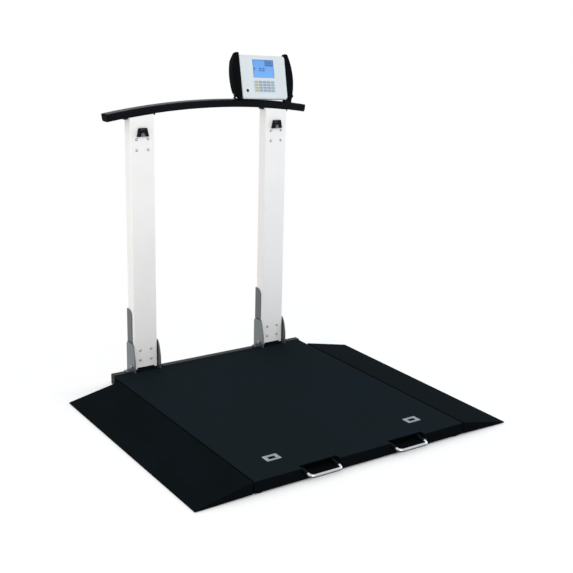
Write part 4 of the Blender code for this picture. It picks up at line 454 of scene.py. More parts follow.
# the display's face in its own frame: x to the right, y into the housing, z up; screen and keys are given as
# left, bottom, right, top
displayFace = {
    "centre": (0.2285, frontEdge + 0.977, 1.09671), "tilt": 16.6, "roll": 3.1054,
    "screen": (-0.0444, -0.0025, 0.0462, 0.0636), "keys": (-0.045, -0.0567, 0.045, -0.0126),
    "width": 0.200, "height": 0.161, "split": 0.008,
}
displayDepth = {"full": 0.034, "backHigh": 0.062, "backLow": 0.055, "topDepth": 0.018, "bottomDepth": 0.006}
displayPlace = (
    at(*displayFace["centre"])
    @ Matrix.Rotation(math.radians(displayFace["roll"]), 4, "Y")
    @ Matrix.Rotation(math.radians(-displayFace["tilt"]), 4, "X")
)
keys = {"columns": 5, "rows": 4, "gap": 0.003, "proud": 0.0005, "sideColumn": 0.0195,
        "middleColour": (132, 144, 156), "leftColour": (166, 162, 128), "rightColour": (130, 156, 164),
        "filmColour": (196, 206, 210), "filmShare": 0.8, "speckColour": (196, 206, 214), "speckScale": 900.0,
        "speckShare": 0.18, "rough": 0.34, "spread": 0.2}
glass = {"foot": (102, 158, 218), "top": (90, 144, 210), "glow": 0.12, "cell": (122, 176, 232),
         "cellScale": 1400.0, "cellShare": 0.10, "rough": 0.10, "spread": 0.06}


# coordinates in the display's frame, whole and as x and z
def displayCoords(tree):
    inverse = displayPlace.inverted()
    mapping = addNode(tree, "ShaderNodeMapping", Location=inverse.translation, Rotation=inverse.to_euler("XYZ"))
    tree.links.new(objectCoords(tree), mapping.inputs["Vector"])
    split = splitPlace(tree, mapping.outputs[0])
    return mapping.outputs[0], split[0], split[2]


# the roughness goes from the look's own up by its spread where the pattern is bright
def patternRough(tree, shader, pattern, look):
    change = mathNode(tree, "MULTIPLY", pattern, look["spread"])
    tree.links.new(mathNode(tree, "ADD", change, look["rough"]), shader.inputs["Roughness"])


def screenMaterial():
    material, tree, shader = newMaterial("finish_screen")
    vector, x, z = displayCoords(tree)
    height = ramp(tree, z, displayFace["screen"][1], displayFace["screen"][3])
    cells = noise(tree, vector, glass["cellScale"], 1.0)
    colour = mixColour(tree, height, tint(glass["foot"]), tint(glass["top"]))
    colour = mixColour(tree, mathNode(tree, "MULTIPLY", cells, glass["cellShare"]), colour, tint(glass["cell"]))
    tree.links.new(colour, shader.inputs["Base Color"])
    tree.links.new(colour, shader.inputs["Emission Color"])
    patternRough(tree, shader, cells, glass)
    shader.inputs["Emission Strength"].default_value = glass["glow"]
    return material


# 1 where a place lies on a key, along one direction: it is less than half a key from the middle of its cell
def onKey(tree, value, low, high, count):
    pitch = (high - low - keys["gap"]) / count
    along = mathNode(tree, "DIVIDE", mathNode(tree, "SUBTRACT", value, low + keys["gap"] / 2), pitch)
    fromMiddle = mathNode(tree, "ABSOLUTE", mathNode(tree, "SUBTRACT", mathNode(tree, "FRACT", along), 0.5))
    return mathNode(tree, "LESS_THAN", fromMiddle, 0.5 * (pitch - keys["gap"] * keys["filmShare"]) / pitch)


def keypadMaterial():
    material, tree, shader = newMaterial("finish_keypad")
    vector, x, z = displayCoords(tree)
    low, bottom, high, top = displayFace["keys"]
    leftColumn = mathNode(tree, "LESS_THAN", x, low + keys["sideColumn"])
    rightColumn = mathNode(tree, "GREATER_THAN", x, high - keys["sideColumn"])
    keyColour = mixColour(tree, leftColumn, tint(keys["middleColour"]), tint(keys["leftColour"]))
    keyColour = mixColour(tree, rightColumn, keyColour, tint(keys["rightColour"]))
    key = mathNode(tree, "MULTIPLY", onKey(tree, x, low, high, keys["columns"]),
                   onKey(tree, z, bottom, top, keys["rows"]))
    colour = mixColour(tree, key, tint(keys["filmColour"]), keyColour)
    speck = noise(tree, vector, keys["speckScale"], 2.0)
    share = mathNode(tree, "MULTIPLY", speck, keys["speckShare"])
    tree.links.new(mixColour(tree, share, colour, tint(keys["speckColour"])), shader.inputs["Base Color"])
    patternRough(tree, shader, speck, keys)
    addBump(tree, shader, speck, 0.1, 0.0001)
    return material


materials["screen_blue"] = screenMaterial()
materials["keypad_grey"] = keypadMaterial()

for entry in frame["record"]["subparts"]:
    dress(nodes[entry["node"]], materials[entry["material_slot"]])
for label in sides:
    dress(nodes[f"latch_tongue_{label}"], materials["dark_steel"])
    dress(nodes[f"rail_cap_{label}"], materials["black_rubber"])
print("finishes:", len(materials), "on", len(nodes), "nodes")

# pull handles: a drawn bar bent into a U, its ends in the pocket's walls
handle = {
    "radius": 0.00545, "reach": 0.0605, "corner": 0.016, "elbow": 0.007, "droop": 7.1,
    "leg": 0.058, "end": 0.0705, "pivot": (0.170, frontEdge + 0.028, 0.0345),
    "pocketShade": (frontEdge - 0.015, frontEdge - 0.011),        # the painted shade inside the pocket begins between these
    # painted shade inside the pocket: there the legs take the deck's black, grow rough and lose their metal
    "pocketShadeColour": (8, 11, 14), "pocketShadeRough": 0.4, "pocketShadeEdge": 0.006, "edgeScale": 160.0,
    # painted shade along the bar's underside: below the first of these heights over its plane the bar turns dark
    # grey
    "undersideShade": (0.0, 0.0038), "undersideShadeColour": (58, 60, 63), "specular": 0.05,
}


# half the U from its end inwards, straight, round the elbow, down the leg and round the corner, then mirrored
def handlePath():
    leg, elbow, corner, reach = handle["leg"], handle["elbow"], handle["corner"], handle["reach"]
    half = np.concatenate([
        [(handle["end"], 0), (leg + elbow + 0.002, 0)],
        arcPoints((leg + elbow, -elbow), elbow, 90, 180, 8),
        arcPoints((leg - corner, corner - reach), corner, 0, -90, 12),
        [((leg - corner) * 0.5, -reach)],
    ])
    flat = np.concatenate([half, half[::-1] * (-1, 1)])
    return np.column_stack([flat, np.zeros(len(flat))])


# polished where the hand goes, with painted shade along its underside, and painted shade in the deck's black
# inside its pocket, where the bar is also rough and not metal;
# the height over the handle's own plane is (z - pivot z) cos(droop) - (y - pivot y) sin(droop)
def handleMaterial():
    material = brushedMaterial("finish_handle_bar", brushedLooks["bright_steel"])
    tree = material.node_tree
    shader = tree.nodes["Principled BSDF"]
    coords = objectCoords(tree)
    x, y, z = splitPlace(tree, coords)
    edge = mathNode(tree, "MULTIPLY", noise(tree, coords, handle["edgeScale"]), handle["pocketShadeEdge"])
    pocketShade = ramp(tree, mathNode(tree, "ADD", y, edge), *handle["pocketShade"])
    droop = math.radians(handle["droop"])
    rise = mathNode(tree, "MULTIPLY", mathNode(tree, "SUBTRACT", z, handle["pivot"][2]), math.cos(droop))
    fall = mathNode(tree, "MULTIPLY", mathNode(tree, "SUBTRACT", y, handle["pivot"][1]), math.sin(droop))
    above = ramp(tree, mathNode(tree, "SUBTRACT", rise, fall), *handle["undersideShade"])
    steel = shader.inputs["Base Color"].links[0].from_socket
    metal = mixColour(tree, above, tint(handle["undersideShadeColour"]), steel)
    colour = mixColour(tree, pocketShade, metal, tint(handle["pocketShadeColour"]))
    steelRough = shader.inputs["Roughness"].links[0].from_socket
    rough = mathNode(tree, "ADD", steelRough, mathNode(tree, "MULTIPLY", pocketShade, handle["pocketShadeRough"]))
    tree.links.new(colour, shader.inputs["Base Color"])
    tree.links.new(mathNode(tree, "SUBTRACT", 1.0, pocketShade), shader.inputs["Metallic"])
    tree.links.new(rough, shader.inputs["Roughness"])
    shader.inputs["Specular IOR Level"].default_value = handle["specular"]
    return material


handleFinish = handleMaterial()
for label, side in sides.items():
    x, y, z = handle["pivot"]
    place = at(side * x, y, z) @ Matrix.Rotation(math.radians(handle["droop"]), 4, "X")
    bar = moved(tubeGrid(handlePath(), handle["radius"], 24), place)
    add(lattice(f"handle_bar_{label}", bar), handleFinish, f"pull_handle_{label}",
        [f"pull_handle_{label}"])
print("pull handles: 2 bars")

# hinge castings: in the post's lower end, the heel rounded about the pin so that it turns in the bracket
heel = {
    "radius": 0.0285, "rim": 0.0012,
    "inside": {"half": 0.0432, "front": 0.4684, "top": 0.150, "rear": 0.5088},
    "below": {"half": 0.0455, "front": 0.4665, "top": 0.0536, "rear": None},
    "groove": (0.5030, 0.1255, 0.1365),               # depth, low and high of the room for the lock pin's tip
}


# outline in y and z: down the front, round the arc about the pin, and up the rear with the lock pin's groove
def heelOutline(part):
    front, top, rear = part["front"], part["top"], part["rear"]
    y, z = foldAxis
    start = 270 + math.degrees(math.asin((front - y) / heel["radius"]))
    end = 360 + math.degrees(math.asin(min(top - z, 0) / heel["radius"]))
    parts = [arcPoints(foldAxis, heel["radius"], start, end, 20)]
    if rear:
        deep, low, high = heel["groove"]
        parts.append([(rear, z + 0.006), (rear, low), (deep, low), (deep, high), (rear, high), (rear, top)])
    return np.concatenate([*parts, [(front, top)]])


for label, side in sides.items():
    place = at(side * postX, 0, 0) @ sideways
    grids = [slabGrid(heelOutline(part), -part["half"], part["half"], heel["rim"], place)
             for part in (heel["inside"], heel["below"])]
    add(latticeGroup(f"hinge_casting_{label}", grids), "black_coat", "rail_frame",
        replaced=[f"hinge_foot_{label}"])

# post screws: zinc heads, domed, with a socket, over the heads that the solids carry
postScrew = {"radius": 0.0050, "height": 0.0022, "sunk": 0.0004, "socket": 0.0022, "deep": 0.0012,
             "x": 0.022, "front": 0.4656, "levels": (0.126, 0.088, 0.89995, 0.86195)}


# domed head: radius cos^0.6 and height sin follow the rim, and the last rings go down into the socket
def screwProfile():
    radius, height, socket = postScrew["radius"], postScrew["height"], postScrew["socket"]
    turns = np.linspace(0, 1.25, 7)
    dome = np.column_stack([radius * np.cos(turns) ** 0.6, height * np.sin(turns)])
    bottom = height - postScrew["deep"]
    return np.concatenate([
        [(radius, -postScrew["sunk"])], dome, [(socket, height), (socket * 0.92, bottom), (0.0001, bottom)],
    ])


for label, side in sides.items():
    places = [at(side * postX + k * postScrew["x"], postScrew["front"], z)
              for z in postScrew["levels"] for k in (-1, 1)]
    heads = [latheGrid(screwProfile(), place @ facingFront, 24) for place in places]
    add(latticeGroup(f"post_screws_{label}", heads, sharp=40), "zinc", "rail_frame")

# hinge pins: a turned head on the left, a spring clip and a chamfered tip on the right
hingePin = {"radius": 0.004, "head": 0.0068, "headHeight": 0.004, "clip": 0.0055, "clipWidth": 0.0015,
            "reach": 0.0539, "tip": 0.0015, "chamfer": 0.0006}


# from the crown of the head, (head sin, -reach - height (0.55 + 0.45 cos)), along the pin and over the clip
def pinProfile():
    radius, head, clip, reach = hingePin["radius"], hingePin["head"], hingePin["clip"], hingePin["reach"]
    clipEnd = reach + hingePin["clipWidth"]
    end, chamfer = clipEnd + hingePin["tip"], hingePin["chamfer"]
    turns = np.linspace(0.02, math.pi / 2, 8)
    heights = -reach - hingePin["headHeight"] * (0.55 + 0.45 * np.cos(turns))
    return np.concatenate([np.column_stack([head * np.sin(turns), heights]), [
        (head, -reach - 0.0001), (radius, -reach), (radius, reach), (clip, reach + 0.0001),
        (clip, clipEnd - 0.0002), (clip - 0.0003, clipEnd), (radius, clipEnd), (radius, end - chamfer),
        (radius - chamfer, end), (0.0001, end),
    ]])


for label, side in sides.items():
    grid = latheGrid(pinProfile(), at(side * postX, *foldAxis) @ alongX, 32)
    add(lattice(f"hinge_pin_turned_{label}", grid), "zinc", "base", replaced=[f"hinge_pin_{label}"])

# lock pins: a steel pin with a ridged knob, drawn out of the post at rest
lockPin = {"radius": 0.004, "tipRadius": 0.003, "knob": 0.0075, "tip": 0.5122, "z": 0.131, "length": 0.0131,
           "knobFrom": 0.5252, "knobLength": 0.0070, "ridges": 20, "ridgeHeight": 0.05}


# knob: a profile of radius, height and share of the ridges, turned about z, where the radius rises and falls
# with the angle as radius (1 + ridge height x share x cos(ridges x angle))
def knobGrid(place):
    knob, length = lockPin["knob"], lockPin["knobLength"]
    profile = np.array([
        (0.0001, 0, 0), (knob - 0.0014, 0, 0.2), (knob - 0.0004, 0.0009, 1),
        (knob - 0.0004, length - 0.0012, 1), (knob - 0.0012, length - 0.0004, 0.3),
        (knob - 0.0030, length, 0), (0.0001, length, 0),
    ])
    angles = np.linspace(0, 2 * math.pi, lockPin["ridges"] * 6, endpoint=False)
    ridges = 1 + lockPin["ridgeHeight"] * profile[:, 2:] * np.cos(lockPin["ridges"] * angles)
    radii = profile[:, :1] * ridges
    heights = profile[:, 1:2] * np.ones(len(angles))
    return moved(np.stack([radii * np.cos(angles), radii * np.sin(angles), heights], -1), place)


shank = [(0.0001, 0), (lockPin["tipRadius"], 0), (lockPin["radius"], 0.001),
         (lockPin["radius"], lockPin["length"]), (0.0001, lockPin["length"])]
for label, side in sides.items():
    grid = latheGrid(shank, at(side * postX, lockPin["tip"], lockPin["z"]) @ facingBack, 24)
    add(lattice(f"lock_pin_shank_{label}", grid), "zinc", f"lock_pin_{label}")
    grid = knobGrid(at(side * postX, lockPin["knobFrom"], lockPin["z"]) @ facingBack)
    add(lattice(f"lock_pin_knob_{label}", grid), "black_plastic", f"lock_pin_{label}",
        replaced=[f"lock_pin_{label}"])
print("brackets: castings, screws, hinge pins and lock pins")

# transport wheels: a tread with a shallow groove round a dished hub
wheel = {"radius": 0.017, "half": 0.010, "bore": 0.0043, "hub": 0.0085, "dish": 0.003, "rim": 0.0016,
         "groove": 0.0005, "grooveHalf": 0.0012, "treadHeight": 0.0045}


# half the section from the bore out over the hub, the dish and the rounded shoulder, then mirrored and closed
def wheelProfile():
    radius, half, hub, rim = wheel["radius"], wheel["half"], wheel["hub"], wheel["rim"]
    dished = half - wheel["dish"]
    section = np.concatenate([
        [(wheel["bore"], half), (hub, half), (hub + 0.001, dished), (radius - wheel["treadHeight"], dished)],
        arcPoints((radius - rim, half - rim), rim, 90, 0, 5),
        [(radius, wheel["grooveHalf"]), (radius - wheel["groove"], wheel["grooveHalf"] / 2)],
    ])
    return np.concatenate([section, section[::-1] * (1, -1), section[:1]])


for label in sides:
    grid = latheGrid(wheelProfile(), Matrix.Translation(middle(f"wheel_{label}")) @ alongX, 48)
    add(lattice(f"wheel_tread_{label}", grid, caps=False), "black_rubber", f"wheel_{label}",
        replaced=[f"wheel_{label}"])

# levelling feet: a round pad with a lip, a coned neck and a stem
foot = {"radius": 0.025, "lip": 0.0052, "shoulder": 0.0200, "neck": 0.012, "height": 0.0085, "stem": 0.005,
        "top": 0.034}
footProfile = [
    (0.0001, 0), (foot["radius"] - 0.0010, 0), (foot["radius"], 0.0010), (foot["radius"], foot["lip"] - 0.0008),
    (foot["radius"] - 0.0008, foot["lip"]), (foot["shoulder"], foot["lip"]), (foot["neck"], foot["height"]),
    (foot["stem"], foot["height"]), (foot["stem"], foot["top"] - 0.0005), (foot["stem"] - 0.0005, foot["top"]),
    (0.0001, foot["top"]),
]
for name in [f"{row}_{label}" for row in ("front", "rear") for label in sides]:
    centre = middle(f"foot_{name}")
    grid = latheGrid(footProfile, at(centre.x, centre.y, 0), 48)
    add(lattice(f"foot_pad_{name}", grid), "black_rubber", f"foot_{name}", replaced=[f"foot_{name}"])
print("wheels and feet: 2 and", 2 * len(sides))

# display bracket's packing block: fills the wedge between its strip and the curved rail, at the right ear
block = {"left": 0.318, "right": 0.345, "front": 0.4668, "rear": 0.4876, "under": 0.0004, "bevel": 0.0006,
         "arch": 2.58, "archTop": 1.02265, "stripX": 0.1405, "stripUnder": 1.0223}


# its underside follows the rail's arc, top - arch + root(arch squared - x squared), its top falls with the strip,
# and the first and last of its four rings are drawn in by the bevel
def packingGrid():
    xs = np.linspace(block["left"], block["right"], 7)
    railTop = block["archTop"] - block["arch"] + np.sqrt(block["arch"] ** 2 - xs ** 2)
    stripUnder = block["stripUnder"] - (xs - block["stripX"]) * math.tan(math.radians(displayFace["roll"]))
    front, rear, bevel = block["front"], block["rear"], block["bevel"]
    ys = np.array([front, front + bevel, rear - bevel, rear])[:, None]
    pull = np.array([bevel, 0, 0, bevel])[:, None]
    heights = np.hstack([railTop - block["under"] + pull, (stripUnder - pull)[:, ::-1]])
    return np.stack(np.broadcast_arrays(np.concatenate([xs, xs[::-1]]), ys, heights), -1)


add(lattice("bracket_packing", packingGrid()), "black_coat", "rail_frame")

# weld beads where the gussets meet their foot lug, and up their rear edges behind the channel
bead = {
    "radius": 0.0016, "ripple": 0.12, "pitch": 0.0022, "ends": 0.4,
    "lug": {"fromLeft": 0.0262, "y": (0.4650, 0.4850), "z": 0.0538},
    "rear": {"fromLeft": 0.0298, "fromRight": 0.0038, "y": 0.5152, "z": (0.060, 0.147)},
}


# a rippled tube, radius (1 + ripple sin) along a straight path, thinned at both ends
def beadGrid(start, end):
    count = max(int(np.linalg.norm(np.subtract(end, start)) / bead["pitch"]) * 4, 8)
    path = np.linspace(start, end, count)
    radii = bead["radius"] * (1 + bead["ripple"] * np.sin(np.arange(count) * math.pi / 2))
    radii[[0, -1]] *= bead["ends"]
    return tubeGrid(path, radii, 10)


for label in sides:
    low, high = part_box(f"bracket_gussets_{label}")
    lug, rear = bead["lug"], bead["rear"]
    x = low[0] + lug["fromLeft"]
    beads = [beadGrid((x, lug["y"][0], lug["z"]), (x, lug["y"][1], lug["z"]))]
    for x in (low[0] + rear["fromLeft"], high[0] - rear["fromRight"]):
        beads.append(beadGrid((x, rear["y"], rear["z"][0]), (x, rear["y"], rear["z"][1])))
    add(latticeGroup(f"bracket_welds_{label}", beads, sharp=60), "light_grey_coat", "base")
print("packing block and", 2 * len(beads), "weld beads")

# keepers: frames with a rounded rim and two small countersunk screws each
keeper = {"rim": 0.0007, "corner": 0.003, "hole": (0.0125, 0.0075), "holeCorner": 0.001, "screwX": 0.0195,
          "screwRadius": 0.0026}


# a flat ring: up the outside, round its rim, round the hole's rim and down; both rims step in by r(1 - cos)
# and up to the top by r sin
def frameGrid(outer, inner, low, high, rim, place):
    turns = np.linspace(0, math.pi / 2, 4)
    amounts = rim * (1 - np.cos(turns))[:, None, None]
    levels = high - rim * (1 - np.sin(turns))
    rings = np.concatenate([[outer], inset(outer, amounts), inset(inner, -amounts[::-1]), [inner, outer]])
    return moved(stacked(rings, [low, *levels, *levels[::-1], low, low]), place)


for label in sides:
    low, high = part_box(f"keeper_{label}")
    centre = middle(f"keeper_{label}")
    halfX, halfY = (high[0] - low[0]) / 2, (high[1] - low[1]) / 2
    holeX, holeY = keeper["hole"]
    outer = roundRect((-halfX, -halfY), (halfX, halfY), keeper["corner"], 5)
    inner = roundRect((-holeX, -holeY), (holeX, holeY), keeper["holeCorner"], 5)
    grid = frameGrid(outer, inner, low[2], high[2], keeper["rim"], at(centre.x, centre.y, 0))
    add(lattice(f"keeper_frame_{label}", grid, caps=False), "satin_steel", "base",
        [f"keeper_{label}"])
    radius = keeper["screwRadius"]
    head = [(0.0001, -0.0006), (radius * 0.45, -0.0006), (radius * 0.5, 0.0001), (radius, 0.00012),
            (radius, -0.0008)]
    heads = [latheGrid(head, at(centre.x + k * keeper["screwX"], centre.y, high[2]), 24) for k in (-1, 1)]
    add(latticeGroup(f"keeper_screws_{label}", heads), "zinc", "base")
print("keepers: 2 frames with their screws")

# side bumpers: crescents with a crowned face and a soft rim
bumper = {"half": 0.131, "top": 0.089, "bottom": -0.085, "end": 0.014, "rim": 0.0045, "proud": 0.001,
          "clear": 0.0003, "rings": 41, "corner": 7,
          "draw": (0.22, 0.14, 0.06)}                 # how far the first and last rings draw in, for rounded ends


# at each height the outside lies on an arc through both ends, the back follows the housing's slopes, and the
# ring runs from the inner wall round a quarter circle at the front and one at the back
def bumperGrid(side):
    inside = displayFace["width"] / 2 + bumper["clear"]
    halfChord = (bumper["top"] - bumper["bottom"]) / 2
    rise = bumper["half"] - inside - bumper["end"]
    bow = (halfChord ** 2 + rise ** 2) / (2 * rise)
    away = halfChord * np.sin(np.linspace(-math.pi / 2, math.pi / 2, bumper["rings"]))
    heights = (bumper["top"] + bumper["bottom"]) / 2 + away
    outs = bumper["half"] - bow + np.sqrt(bow ** 2 - away ** 2)
    front = -bumper["proud"]
    rear = displayDepth["full"] + bumper["proud"]
    topSlope = (rear - displayDepth["topDepth"]) / (bumper["top"] - displayDepth["backHigh"])
    deep = np.minimum.reduce([
        np.full_like(heights, rear), displayDepth["bottomDepth"] + heights - bumper["bottom"],
        displayDepth["topDepth"] + (bumper["top"] - heights) * topSlope,
    ])
    rims = np.minimum.reduce([np.full_like(outs, bumper["rim"]), (outs - inside) * 0.85, (deep - front) * 0.45])
    quarter = np.linspace(0, math.pi / 2, bumper["corner"])
    turns = np.concatenate([-quarter[::-1], quarter])
    middles = np.repeat(np.stack([front + rims, deep - rims], 1), len(quarter), axis=1)
    xs = (outs - rims)[:, None] + rims[:, None] * np.cos(turns)
    ys = middles + rims[:, None] * np.sin(turns)
    wall = np.full((len(heights), 1), inside)
    xs = side * np.hstack([wall, xs, wall])
    ys = np.hstack([np.full_like(wall, front), ys, deep[:, None]])
    grid = np.stack([xs, ys, np.broadcast_to(heights[:, None], xs.shape)], -1)
    for index, amount in enumerate(bumper["draw"]):
        for ring in (grid[index], grid[-1 - index]):
            centre = ring.mean(0)
            centre[0] = side * inside
            ring[:] = centre + (ring - centre) * (1 - amount)
    return grid if side > 0 else grid[:, ::-1]


for label, side in sides.items():
    grid = moved(bumperGrid(side), displayPlace)
    add(lattice(f"bumper_shell_{label}", grid, sharp=50), "black_rubber", "display",
        replaced=[f"side_bumper_{label}"])

# display front: a moulded face with a deeper curve along its foot and a framed window
face = {"rim": 0.004, "footRim": 0.008, "footFrom": 0.72, "footFull": 0.94, "corner": 0.010, "wall": 0.0025,
        "windowRim": 0.0008, "windowCorner": 0.0012, "windowClear": 0.0002, "windowDepth": 0.0022,
        "wallDepth": 0.0060}


# rings of an outline and a depth: from inside the window over its rim, out by r(1 - cos) at depth r(1 - sin),
# then over the outer rim, in by r(1 - cos) at depth r(1 - sin), where r grows along the foot, and inside the wall
def faceGrid():
    half, tall = displayFace["width"] / 2, displayFace["height"] / 2
    x0, z0, x1, z1 = displayFace["screen"]
    clear, step, split = face["windowClear"], face["windowRim"], displayFace["split"]
    outer = roundRect((-half, -tall), (half, tall), face["corner"], 10)
    window = roundRect((x0 - clear, z0 - clear), (x1 + clear, z1 + clear), face["windowCorner"], 10)
    foot = (-outer[:, 1:] / tall - face["footFrom"]) / (face["footFull"] - face["footFrom"])
    rim = face["rim"] + (face["footRim"] - face["rim"]) * np.clip(foot, 0, 1)
    normal = inset(outer, 1.0) - outer
    inner = outer + normal * face["wall"]
    windowTurns = np.linspace(0.4, math.pi / 2, 3)[:, None, None]
    outerTurns = np.linspace(math.pi / 2, 0, 8)[:, None, None]
    flat = np.ones((1, len(outer), 1))
    outlines = np.concatenate([
        [window, window], inset(window, -step * (1 - np.cos(windowTurns))),
        outer + normal * rim * (1 - np.cos(outerTurns)), [outer, inner, inner],
    ])
    depths = np.concatenate([
        face["windowDepth"] * flat, step * flat, step * (1 - np.sin(windowTurns)) * flat,
        rim * (1 - np.sin(outerTurns)), split * flat, split * flat, face["wallDepth"] * flat,
    ])
    return np.concatenate([outlines[..., :1], depths, outlines[..., 1:]], -1)[:, ::-1]


add(lattice("display_face", moved(faceGrid(), displayPlace), caps=False, sharp=50), "white_plastic", "display",
    replaced=["display_front"])

# display back: the same corner curve carried round the sloped housing
back = {"rim": 0.006, "seam": 0.0003}


# each ring is a rounded rectangle whose foot rises and whose top falls with depth; round the back edge it
# shrinks by r(1 - cos) while it goes back by r sin, and its corners shrink half as much
def backGrid():
    half, tall = displayFace["width"] / 2, displayFace["height"] / 2
    full, rim = displayDepth["full"], back["rim"]
    start = displayFace["split"] + back["seam"]
    turns = np.linspace(0, math.pi / 2, 7)[1:]
    straight = np.concatenate([[start + 0.0001], np.linspace(start + 0.0002, full - rim, 9)])
    depths = np.concatenate([straight, full - rim * (1 - np.sin(turns))])
    shrinks = np.concatenate([np.zeros(len(straight)), rim * (1 - np.cos(turns))])
    footSlope = (tall - displayDepth["backLow"]) / (full - start)
    topSlope = (tall - displayDepth["backHigh"]) / (full - displayDepth["topDepth"])
    lows = shrinks - tall + np.maximum(depths - start, 0) * footSlope
    highs = tall - shrinks - np.maximum(depths - displayDepth["topDepth"], 0) * topSlope
    outlines = np.stack([roundRect((shrink - half, low), (half - shrink, high), face["corner"] - shrink / 2, 10)
                         for low, high, shrink in zip(lows, highs, shrinks)])
    depths = depths[:, None, None] * np.ones((1, outlines.shape[1], 1))
    return np.concatenate([outlines[..., :1], depths, outlines[..., 1:]], -1)[:, ::-1]


add(lattice("display_shell", moved(backGrid(), displayPlace), sharp=50), "white_plastic", "display",
    replaced=["display_back"])

backDetails = {
    "screwX": (-0.080, 0.080), "screwZ": (-0.040, 0.046), "screwRadius": 0.0034,
    "vents": 7, "ventHalf": (0.030, 0.0009), "ventFrom": 0.030, "ventPitch": 0.0042,
    "ventCorner": 0.0008, "ventProud": 0.00025, "ventRim": 0.0002,
    "lidHalf": (0.062, 0.030), "lidZ": -0.010, "lidCorner": 0.004, "lidProud": 0.0007, "lidRim": 0.0005,
}


# a place on the display's back, its depth running outwards
def onBack(x, z):
    return displayPlace @ at(x, displayDepth["full"], z) @ facingBack


def centredRect(half, corner, steps):
    return roundRect((-half[0], -half[1]), half, corner, steps)


radius = backDetails["screwRadius"]
head = [(0.0001, -0.0008), (0.0012, -0.0008), (0.0014, 0.0003), (radius - 0.0004, 0.0002), (radius, -0.0002),
        (radius, -0.0012)]
screws = [latheGrid(head, onBack(x, z), 24) for x in backDetails["screwX"] for z in backDetails["screwZ"]]
add(latticeGroup("display_back_screws", screws), "zinc", "display")
vent = centredRect(backDetails["ventHalf"], backDetails["ventCorner"], 5)
levels = [backDetails["ventFrom"] + k * backDetails["ventPitch"] for k in range(backDetails["vents"])]
vents = [slabGrid(vent, -0.0006, backDetails["ventProud"], backDetails["ventRim"], onBack(0, z)) for z in levels]
add(latticeGroup("display_vents", vents), "black_plastic", "display")
lid = centredRect(backDetails["lidHalf"], backDetails["lidCorner"], 6)
lid = slabGrid(lid, -0.001, backDetails["lidProud"], backDetails["lidRim"], onBack(0, backDetails["lidZ"]))
add(lattice("battery_lid", lid), "white_plastic", "display")
print("display: bumpers, face, back with", len(screws), "screws and", len(vents), "vents")

# what the screen shows: a weight, a unit mark, a darker field with two lines, and a thin border, all in bars
screen = {
    "digits": "0.0", "digitHeight": 0.0130, "digitWidth": 0.0086, "stroke": 0.0026, "start": (-0.0180, 0.0215),
    "dot": 0.0022, "afterDot": 0.0040, "afterDigit": 0.0020,
    "marks": [((-0.0400, 0.0290), (-0.0345, 0.0330)), ((-0.0400, 0.0240), (-0.0365, 0.0262))],
    "field": ((0.0075, 0.0400), (0.0448, 0.0622)), "lines": 2, "linePitch": 0.0088,
    "lineHeight": (0.0030, 0.0062), "lineInset": 0.003, "lineShorter": 0.006, "border": 0.0012,
    "thick": 0.00012, "thin": 0.00008, "rim": 0.00002,
}
segments = {"0": "abcdef", "1": "bc", "2": "abged", "3": "abgcd", "4": "fgbc", "5": "afgcd", "6": "afgcde",
            "7": "abc", "8": "abcdefg", "9": "abcdfg"}
inkLook = {"colour": (30, 46, 78), "patch": (34, 50, 84), "patchScale": 200.0, "grainScale": 2000.0,
           "rough": 0.3, "spread": 0.05, "bump": 0.02, "depth": 0.0001}
inkMaterial = grainMaterial("finish_screen_ink", inkLook)
fieldMaterial = grainMaterial("finish_screen_field", dict(inkLook, colour=(72, 122, 186), patch=(76, 126, 190)))
lineMaterial = grainMaterial("finish_screen_line", dict(inkLook, colour=(54, 92, 142), patch=(58, 96, 146)))
keyInkMaterial = grainMaterial("finish_key_ink", dict(inkLook, colour=(86, 98, 110), patch=(92, 104, 116)))


# the bars of one digit: a on top, b and c down the right, d at the foot, e and f up the left, g in the middle
def segmentBars(digit, x, z, width, height, stroke):
    right, top, centreZ = x + width, z + height, z + height / 2
    places = {
        "a": ((x, top - stroke), (right, top)), "d": ((x, z), (right, z + stroke)),
        "g": ((x, centreZ - stroke / 2), (right, centreZ + stroke / 2)),
        "f": ((x, centreZ), (x + stroke, top)), "b": ((right - stroke, centreZ), (right, top)),
        "e": ((x, z), (x + stroke, centreZ)), "c": ((right - stroke, z), (right, centreZ)),
    }
    gap = stroke * 0.18
    bars = [places[segment] for segment in segments[digit]]
    return [((a[0] + gap, a[1] + gap), (b[0] - gap, b[1] - gap)) for a, b in bars]


# flat slabs on the face, each from its low corner to its high corner
def flatBars(name, bars, material, height, low=0.0):
    place = displayPlace @ facingFront
    outlines = [[a, (b[0], a[1]), b, (a[0], b[1])] for a, b in bars]
    grids = [slabGrid(outline, low, low + height, screen["rim"], place, 1) for outline in outlines]
    add(latticeGroup(name, grids), material, "display")


bars, (x, z) = [], screen["start"]
for letter in screen["digits"]:
    if letter == ".":
        bars.append(((x, z), (x + screen["dot"], z + screen["dot"])))
        x += screen["afterDot"]
    else:
        bars += segmentBars(letter, x, z, screen["digitWidth"], screen["digitHeight"], screen["stroke"])
        x += screen["digitWidth"] + screen["afterDigit"]
flatBars("screen_figures", bars + screen["marks"], inkMaterial, screen["thick"])
flatBars("screen_field", [screen["field"]], fieldMaterial, screen["thin"])
(x0, z0), (x1, z1) = screen["field"]
inside, (low, high) = screen["lineInset"], screen["lineHeight"]
lines = []
for k in range(screen["lines"]):
    z = z0 + k * screen["linePitch"]
    lines.append(((x0 + inside, z + low), (x1 - inside - k * screen["lineShorter"], z + high)))
flatBars("screen_field_lines", lines, lineMaterial, screen["thick"])
x0, z0, x1, z1 = displayFace["screen"]
edge = screen["border"]
borders = [((x0, z0), (x0 + edge, z1)), ((x0 + edge, z1 - edge), (x1, z1)), ((x1 - edge, z0), (x1, z1 - edge))]
flatBars("screen_border", borders, lineMaterial, screen["thin"])

